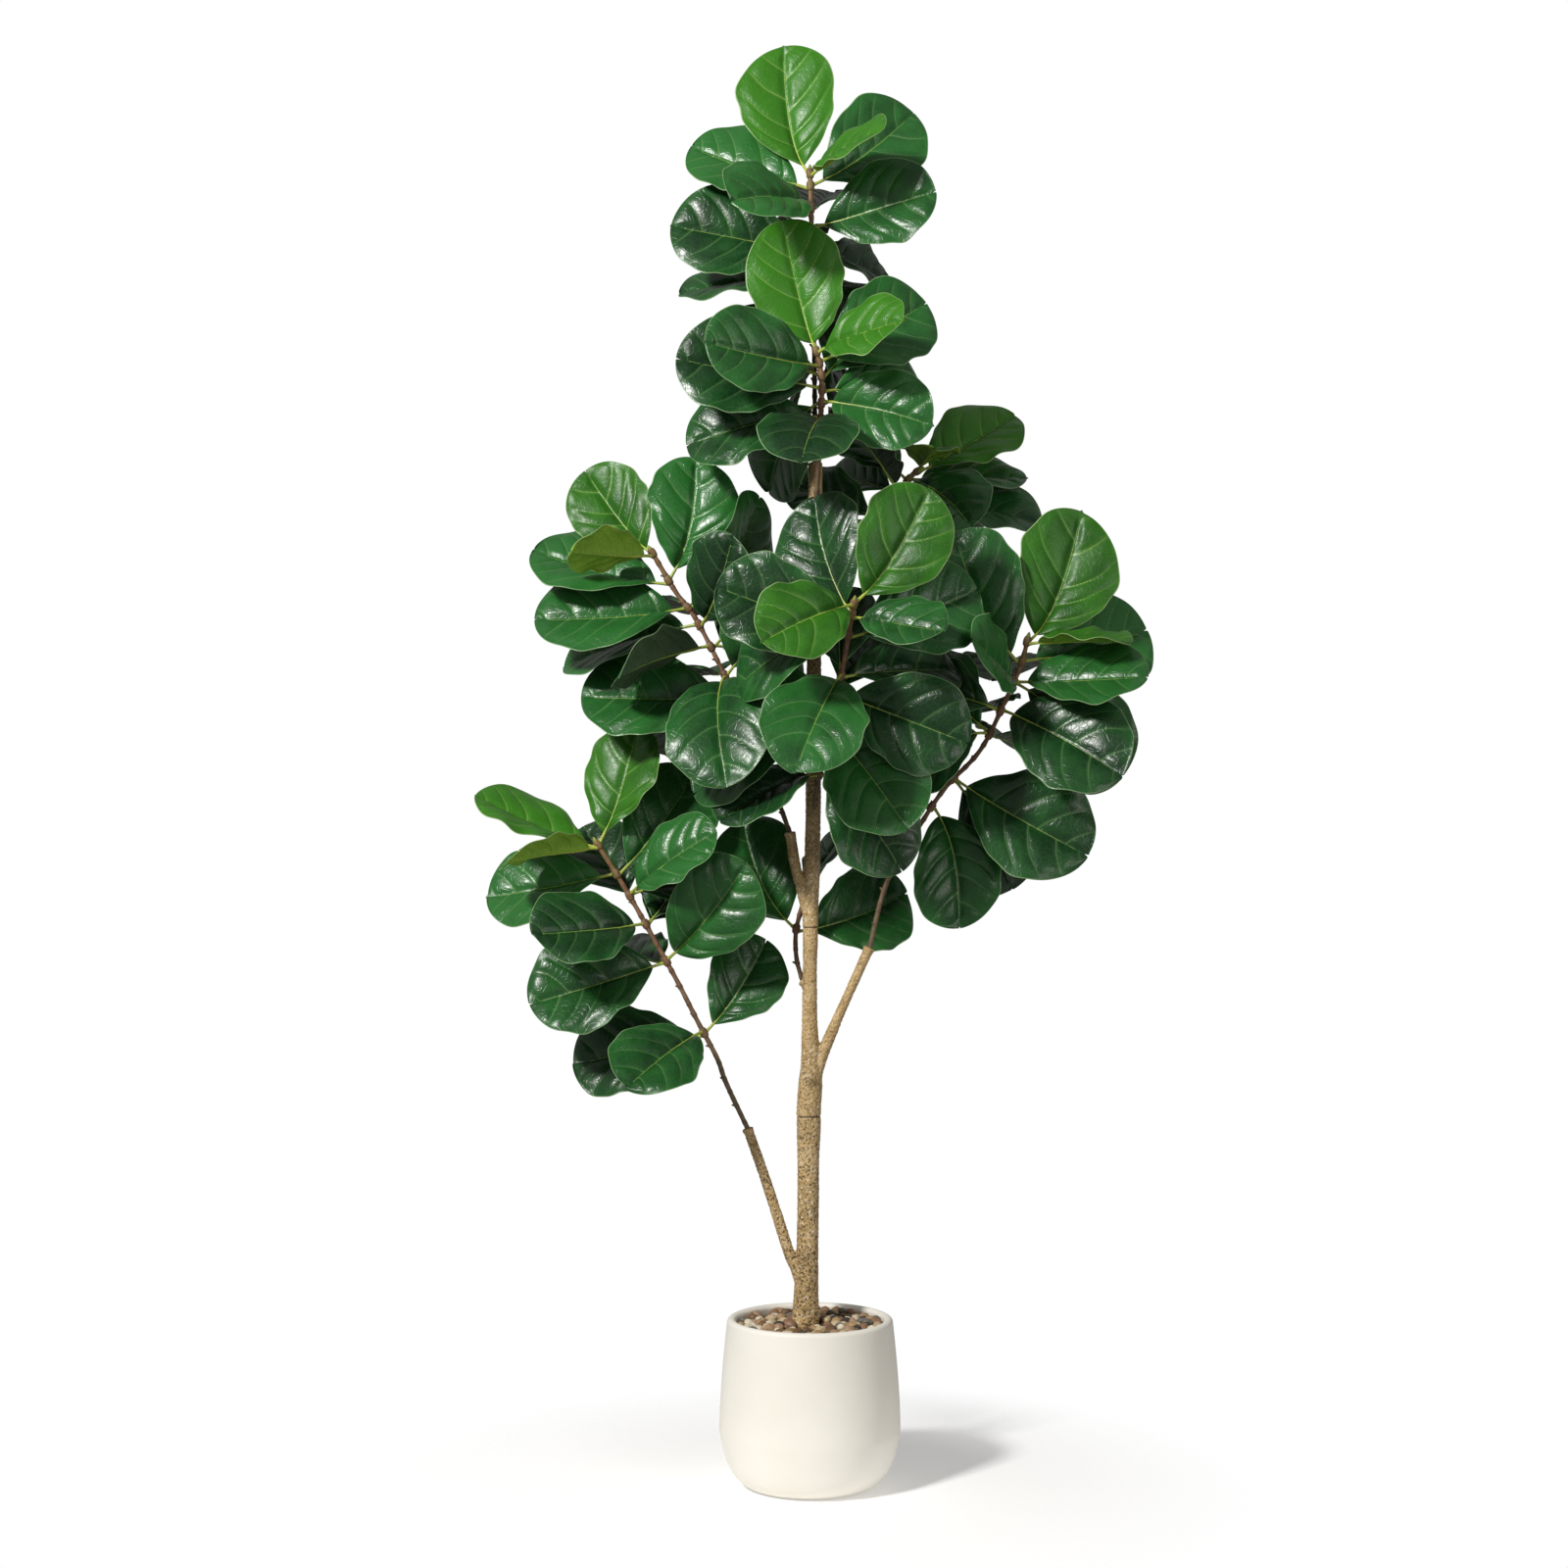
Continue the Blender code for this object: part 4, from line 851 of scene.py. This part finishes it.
def make_section(node, limbs, knots, material, rings):
    """A trunk section: its limbs grown together, then given bark. Rings are (height, depth, width)."""
    name = node + "_bark"
    parts = Parts()
    for rows, sides in limbs:
        limb(parts, rows, sides)
    for spot in knots:
        knot(parts, *spot)
    rough = parts.build(name + "_rough")
    step = rough.modifiers.new("grow", "REMESH")
    step.mode = "VOXEL"
    step.voxel_size = BARK_VOXEL
    ease = rough.modifiers.new("ease", "SMOOTH")
    ease.factor = 0.5
    ease.iterations = 7
    graph = bpy.context.evaluated_depsgraph_get()
    mesh = bpy.data.meshes.new_from_object(rough.evaluated_get(graph))
    bpy.data.objects.remove(rough)
    points, normals = read_vectors(mesh.vertices, "co"), read_vectors(mesh.vertex_normals, "vector")
    count = len(points)
    offset, pit = np.empty(count), np.empty(count)
    turned = points @ np.array(Euler(NOISE_TURN).to_matrix())
    for i, ((x, y, z), spot) in enumerate(zip(points, turned)):
        ridge = noise.noise(Vector(spot * 360))
        fine = noise.noise(Vector(spot * 700))
        wrinkle = noise.noise(Vector((x * 70 + 7.1, y * 70 + 3.3, z * 330)))
        swell = noise.noise(Vector((x * 34, y * 34, z * 22)))
        pit[i] = max(0.0, -ridge - 0.06)
        offset[i] = 0.00032 * ridge + 0.00016 * fine - 0.001 * pit[i] + 0.0003 * wrinkle + 0.0006 * swell
    # how much darker the bark is made in the seam grooves and round the knots
    seam_and_knot_dark = np.zeros(count)
    for height, depth, width in rings:
        band = bell(points[:, 2] - row_frame(height), width)
        offset -= depth * band
        seam_and_knot_dark = np.maximum(seam_and_knot_dark, band)
    for centre, _, radius, _ in knots:
        near = norm(points - np.asarray(centre), axis=1)
        seam_and_knot_dark = np.maximum(seam_and_knot_dark, 0.55 * bell(near, radius * 1.8))
    points += normals * offset[:, None]
    mesh.vertices.foreach_set("co", points.astype(np.float32).reshape(-1))
    add_attribute(mesh, "bark", np.stack([seam_and_knot_dark, pit, np.zeros(count)], -1))
    mesh.shade_smooth()
    mesh.update()
    settle(scene_object(name, mesh), material, node)


def make_trunk(material):
    low_seam, high_seam = (LOWER_SEAM, *SEAM_RING), (UPPER_SEAM, *UPPER_SEAM_RING)
    foot = (TRUNK_LOW_END, *LOWER_TRUNK[0][1:])
    make_section(
        "trunk_lower",
        [(trunk_rows([foot, *LOWER_TRUNK], TRUNK_LOW_END, LOWER_SEAM - SEAM_GAP), 40),
         (arm_rows(LEFT_ARM), 28)],
        [((-0.0075, -0.012, row_frame(0.078)), (-0.3, -0.9, 0.1), 0.0042, 0.003)],
        material, [low_seam],
    )
    make_section(
        "trunk_middle",
        [(trunk_rows(MIDDLE_TRUNK, LOWER_SEAM + SEAM_GAP, UPPER_SEAM - SEAM_GAP), 36),
         (arm_rows(RIGHT_ARM), 28)],
        [((-0.008, 0.0, row_frame(0.423)), (-1.0, -0.1, 0.45), 0.0034, 0.0062),
         ((0.003, -0.0135, row_frame(0.303)), (0.1, -1.0, 0.1), 0.004, 0.0024)],
        material, [low_seam, high_seam],
    )
    make_section(
        "trunk_upper",
        [(trunk_rows(UPPER_TRUNK, UPPER_SEAM + SEAM_GAP, TRUNK_TOP), 32), (arm_rows(UPPER_LEFT_ARM), 24)],
        [((0.0095, -0.004, row_frame(0.7)), (1.0, -0.4, 0.4), 0.0028, 0.004)],
        material, [high_seam],
    )


# Planter and pebbles.


def pot_material():
    s = Shader("planter_cream", 0.55, Specular_IOR_Level=0.42)
    place = s.place()
    cloud = s.noise(place, 9.0, 3.0)
    speck = s.noise(place, 900.0, 2.0, 0.5)
    height = s.split(place)["Z"]
    colour = s.mix(s.step(cloud, 0.3, 0.7), (0.82, 0.79, 0.716), (0.855, 0.828, 0.758))
    colour = s.mix(s.times(s.step(speck, 0.64, 0.74), 0.1), colour, (0.55, 0.5, 0.42))
    # painted shade: the planter is darker towards its foot, under the belly
    colour = s.mix(s.times(s.step(height, 0.035, 0.0), 0.18), colour, (0.6, 0.55, 0.46))
    rough = s.math("MULTIPLY_ADD", speck, 0.14, 0.46)
    relief = s.plus(s.times(speck, 0.25), s.noise(place, 60.0, 2.0))
    return s.finish(Base_Color=colour, Roughness=rough, Normal=s.bump(relief, 0.0006, 0.35))


def bend(start, control, end, steps):
    t = (np.arange(steps) + 1)[:, None] / steps
    start, control, end = (np.array(p, float) for p in (start, control, end))
    return [tuple(p) for p in start * (1 - t) ** 2 + control * (2 * t * (1 - t)) + end * t**2]


def make_pot(material):
    roll = POT_RIM_WIDTH / 2
    rim_centre = POT_HEIGHT - roll
    mouth, middle = POT_RIM_RADIUS - POT_RIM_WIDTH, POT_RIM_RADIUS - roll
    belly = (POT_BELLY_RADIUS, POT_BELLY_HEIGHT)
    belly_in = (belly[0] - POT_WALL, belly[1])
    floor_edge = (POT_FOOT_RADIUS - POT_WALL, POT_FLOOR)
    outline = [(0.0, POT_FLOOR), floor_edge]
    outline += bend(floor_edge, (belly_in[0] - 0.004, POT_FLOOR), belly_in, 12)
    outline += bend(belly_in, (belly_in[0], POT_HEIGHT * 0.62), (mouth, rim_centre), 14)
    turns = [pi * (1 - i / 14) for i in range(1, 15)]
    outline += [(middle + roll * math.cos(a), rim_centre + roll * math.sin(a)) for a in turns]
    outline += bend((POT_RIM_RADIUS, rim_centre), (POT_BELLY_RADIUS, POT_HEIGHT * 0.57), belly, 26)
    outline += bend(belly, (POT_BELLY_RADIUS - 0.01, 0.0008), (POT_FOOT_RADIUS + 0.001, 0.0008), 26)
    outline += [(POT_FOOT_RADIUS, 0.0), (0.0, 0.0)]
    steps = 144
    angles = round_angles(steps)
    profile = np.array(outline[1:-1])
    rings = np.stack(
        [np.outer(profile[:, 0], np.cos(angles)), np.outer(profile[:, 0], np.sin(angles)),
         np.repeat(profile[:, 1][:, None], steps, axis=1)], -1,
    )
    quads, _ = ring_faces(len(profile), steps)
    points = np.vstack([rings.reshape(-1, 3), [(0, 0, POT_FLOOR), (0, 0, 0)]])
    inside, under = len(points) - 2, len(points) - 1
    turn = np.arange(steps)
    after = (turn + 1) % steps
    last = (len(profile) - 1) * steps
    caps = np.concatenate([
        np.stack([np.full(steps, inside), turn, after], -1),
        np.stack([np.full(steps, under), last + after, last + turn], -1),
    ])
    pot = mesh_object("planter", points, [quads[:, ::-1], caps])
    pot.data.set_sharp_from_angle(angle=math.radians(50))
    settle(pot, material, "pot")


def stone_material():
    """Attribute "stone" holds three numbers of each pebble's own, from 0 to 1."""
    s = Shader("river_pebbles", 0.5, Specular_IOR_Level=0.45)
    kind, shade, shift = s.attribute("stone")
    place = s.place()
    apart = s.add("CombineXYZ", s.times(kind, 3.0), s.times(shade, 3.0), shift)[0]
    moved = s.add("VectorMath", place, apart, operation="ADD")[0]
    cloud = s.noise(moved, 150.0, 3.0, 0.6)
    speck = s.noise(moved, 900.0, 2.0, 0.6)
    colour = s.ramp(
        kind,
        [(0.00, (0.43, 0.28, 0.13)), (0.17, (0.17, 0.09, 0.036)), (0.3, (0.64, 0.5, 0.3)),
         (0.43, (0.29, 0.15, 0.08)), (0.53, (0.16, 0.155, 0.135)), (0.62, (0.022, 0.022, 0.023)),
         (0.76, (0.46, 0.29, 0.17)), (0.87, (0.85, 0.76, 0.59))],
        "CONSTANT",
    )
    colour = s.mix(s.step(cloud, 0.35, 0.7), s.mix(0.3, colour, (0.09, 0.05, 0.025)), colour)
    colour = s.mix(s.times(s.step(speck, 0.58, 0.7), 0.35), colour, (0.6, 0.5, 0.36))
    colour = s.mix(s.times(shade, 0.22), colour, (0.1, 0.065, 0.035))
    rough = s.math("MULTIPLY_ADD", cloud, 0.3, 0.28)
    return s.finish(Base_Color=colour, Roughness=rough, Normal=s.bump(speck, 0.0006, 0.5))


def settled_pebbles(rng):
    """Centres and radii of pebbles heaped in the planter round the trunk."""
    count, low, wall = PEBBLE_COUNT, PEBBLE_LOW, PEBBLE_WALL
    radius = rng.uniform(*PEBBLE_RADII, count)
    turn, out = rng.uniform(0, tau, count), np.sqrt(rng.uniform(0.06, 0.9, count)) * wall
    place = np.stack([out * np.cos(turn), out * np.sin(turn), rng.uniform(low, low + 0.05, count)], -1)
    trunk, girth = np.array([-0.0062, 0.0]), 0.0172
    for step in range(420):
        place[:, 2] -= 0.00025 if step < 360 else 0.00005
        gap = place[:, None] - place[None]
        apart = norm(gap, axis=-1) + np.eye(count)
        deep = np.maximum((radius[:, None] + radius[None]) * 0.97 - apart, 0.0) * (1 - np.eye(count))
        place += (gap / apart[..., None] * deep[..., None] * 0.36).sum(axis=1)
        out = norm(place[:, :2], axis=1)
        over = np.maximum(out + radius - wall, 0.0)
        place[:, :2] -= place[:, :2] / out[:, None] * over[:, None]
        away = place[:, :2] - trunk
        near = norm(away, axis=1)
        under = np.maximum(girth + radius * 0.92 - near, 0.0)
        place[:, :2] += away / near[:, None] * under[:, None]
        place[:, 2] = np.maximum(place[:, 2], low + radius * 0.9)
    return place, radius


def make_pebbles(material):
    rng = seeded("pebbles")
    place, radius = settled_pebbles(rng)
    ball = bmesh.new()
    bmesh.ops.create_icosphere(ball, subdivisions=3, radius=1.0)
    points = np.array([v.co for v in ball.verts])
    faces = np.array([[v.index for v in f.verts] for f in ball.faces])
    ball.free()
    parts = Parts()
    for centre, size in zip(place, radius):
        top = PEBBLE_TOP - PEBBLE_SINK * (np.hypot(centre[0], centre[1]) / PEBBLE_WALL) ** 2
        centre[2] = min(centre[2], top - size)
        stretch = np.array([rng.uniform(1.0, 1.45), rng.uniform(0.88, 1.06), rng.uniform(0.66, 0.9)])
        lean = Matrix.Rotation(rng.uniform(0, tau), 3, "Z") @ Matrix.Rotation(
            rng.normal(0, 0.45), 3, Vector((rng.normal(), rng.normal(), 0.1)).normalized()
        )
        away = rng.uniform(-50, 50, 3)
        lumps = np.array([noise.noise(Vector(p * 1.1 + away)) for p in points])
        stone = points * (1 + 0.2 * lumps)[:, None] * stretch
        stone = stone @ np.array(lean.transposed()) * size + centre
        out = norm(stone[:, :2], axis=1)
        keep = np.minimum(1.0, 0.094 / np.maximum(out, 1e-6))
        stone[:, :2] *= keep[:, None]
        parts.add(stone, [faces], stone=tuple(rng.uniform(0, 1, 3)))
    settle(parts.build("pebbles"), material, "pebble_bed")


def make_gravel(material):
    """A ring of gravel that closes the gaps between the pebbles."""
    sides = 72
    out = np.linspace(0.0185, 0.093, 22)
    angles = round_angles(sides)
    rings = []
    for height, order, bumps in ((GRAVEL_LOW, out[::-1], 0.0), (GRAVEL_TOP, out, GRAVEL_GRIT)):
        for r in order:
            x, y = r * np.cos(angles) - 0.006 * (r < 0.05), r * np.sin(angles)
            grit = [noise.noise(Vector((a * 210, b * 210, 3.0))) * bumps for a, b in zip(x, y)]
            rings.append(np.stack([x, y, height + np.array(grit)], -1))
    points = np.concatenate(rings)
    quads = ring_faces(len(rings) + 1, sides)[0] % len(points)  # the last ring joins the first
    stones = np.tile([0.2, 0.9, 0.5], (len(points), 1))
    gravel = mesh_object("gravel_under_pebbles", points, [quads], stone=stones)
    settle(gravel, material, "pebble_bed")


def cement_material():
    s = Shader("cast_cement", 0.92)
    place = s.place()
    cloud = s.noise(place, 40.0, 4.0)
    pores = s.add("TexVoronoi", Vector=place, Scale=240.0)["Distance"]
    colour = s.mix(s.step(cloud, 0.35, 0.65), (0.3, 0.29, 0.27), (0.4, 0.39, 0.37))
    colour = s.mix(s.step(pores, 0.16, 0.05), colour, (0.12, 0.115, 0.11))
    return s.finish(Base_Color=colour, Normal=s.bump(s.plus(cloud, pores), 0.002, 0.6))


# The studio.


def floor_material():
    """A pale floor that fades into the white round it."""
    s = Shader("studio_floor", 0.85, Specular_IOR_Level=0.1)
    s.finish(Base_Color=(0.93, 0.93, 0.93), Emission_Color=WHITE, Emission_Strength=0.2)
    fade = s.step(s.add("VectorMath", s.place(), operation="LENGTH")["Value"], *FLOOR_FADE)
    clear = s.add("BsdfTransparent")[0]
    blend = s.add("MixShader", fade, s.bsdf.outputs[0], clear)[0]
    s.put(s.tree.nodes["Material Output"].inputs["Surface"], blend)
    return s.material


def area_light(name, place, target, energy, size, colour):
    data = bpy.data.lights.new(name, "AREA")
    data.energy, data.size, data.color = energy, size, colour
    lamp = scene_object(name, data)
    lamp.location = place
    lamp.rotation_euler = (Vector(target) - Vector(place)).to_track_quat("-Z", "Y").to_euler()


def make_studio():
    angles = round_angles(96)
    edge = np.stack([FLOOR_RADIUS * np.cos(angles), FLOOR_RADIUS * np.sin(angles), np.zeros(96)], -1)
    floor = mesh_object("floor", edge, [np.arange(96)[None]])
    floor.data.materials.append(floor_material())
    scene = bpy.context.scene
    scene.world = bpy.data.worlds.new("studio")
    scene.world.use_nodes = True
    tree = scene.world.node_tree
    room = tree.nodes["Background"]
    room.inputs["Color"].default_value = (*WARM_WHITE, 1.0)
    room.inputs["Strength"].default_value = ROOM_STRENGTH
    sweep = tree.nodes.new("ShaderNodeBackground")  # what the camera sees past the floor
    sweep.inputs["Color"].default_value = (*WHITE, 1.0)
    seen = tree.nodes.new("ShaderNodeLightPath").outputs["Is Camera Ray"]
    blend = tree.nodes.new("ShaderNodeMixShader")
    for socket, link in zip(blend.inputs, (seen, room.outputs[0], sweep.outputs[0])):
        tree.links.new(link, socket)
    tree.links.new(blend.outputs[0], tree.nodes["World Output"].inputs["Surface"])
    area_light("key", (-2.1, -2.4, 3.0), (0.0, 0.0, 0.95), 152.0, 0.5, WARM_WHITE)
    area_light("front_fill", (2.2, -3.0, 1.2), (0.0, 0.0, 0.9), 24.0, 1.6, FILL_WHITE)

    camera = bpy.data.cameras.new("camera")
    camera.sensor_width, camera.lens = CAMERA_SENSOR, CAMERA_LENS
    scene.camera = scene_object("camera", camera)
    scene.camera.location = CAMERA_PLACE
    scene.camera.rotation_euler = (pi / 2, 0.0, 0.0)
    scene.view_settings.view_transform = "Standard"


def main():
    materials = {
        "leaf_mature": leaf_material(
            "leaf_mature", deep=(0.006, 0.03, 0.009), fresh=(0.02, 0.128, 0.022),
            under_deep=(0.038, 0.066, 0.04), under_fresh=(0.072, 0.122, 0.06), vein=(0.14, 0.29, 0.095),
            rib=(0.33, 0.4, 0.06), edge=(0.24, 0.38, 0.18), roughness=0.31, gloss=0.42,
        ),
        # the young leaves' undersides are painted lighter, standing in for light shining through them
        "leaf_young": leaf_material(
            "leaf_young", deep=(0.01, 0.066, 0.005), fresh=(0.036, 0.172, 0.009),
            under_deep=(0.12, 0.26, 0.03), under_fresh=(0.28, 0.48, 0.05), vein=(0.22, 0.4, 0.08),
            rib=(0.4, 0.48, 0.07), edge=(0.34, 0.46, 0.2), roughness=0.38, gloss=0.34,
        ),
    }
    stem = stem_material()
    for spray in STEM_ROUTES:
        sleeves = make_leaves(spray, materials)
        make_stem(spray, sleeves, stem)
    make_trunk(bark_material())
    make_pot(pot_material())
    stone = stone_material()
    make_pebbles(stone)
    make_gravel(stone)
    base = frame["nodes"]["weighted_base"]
    base.data.materials.clear()
    base.data.materials.append(cement_material())
    make_studio()


main()
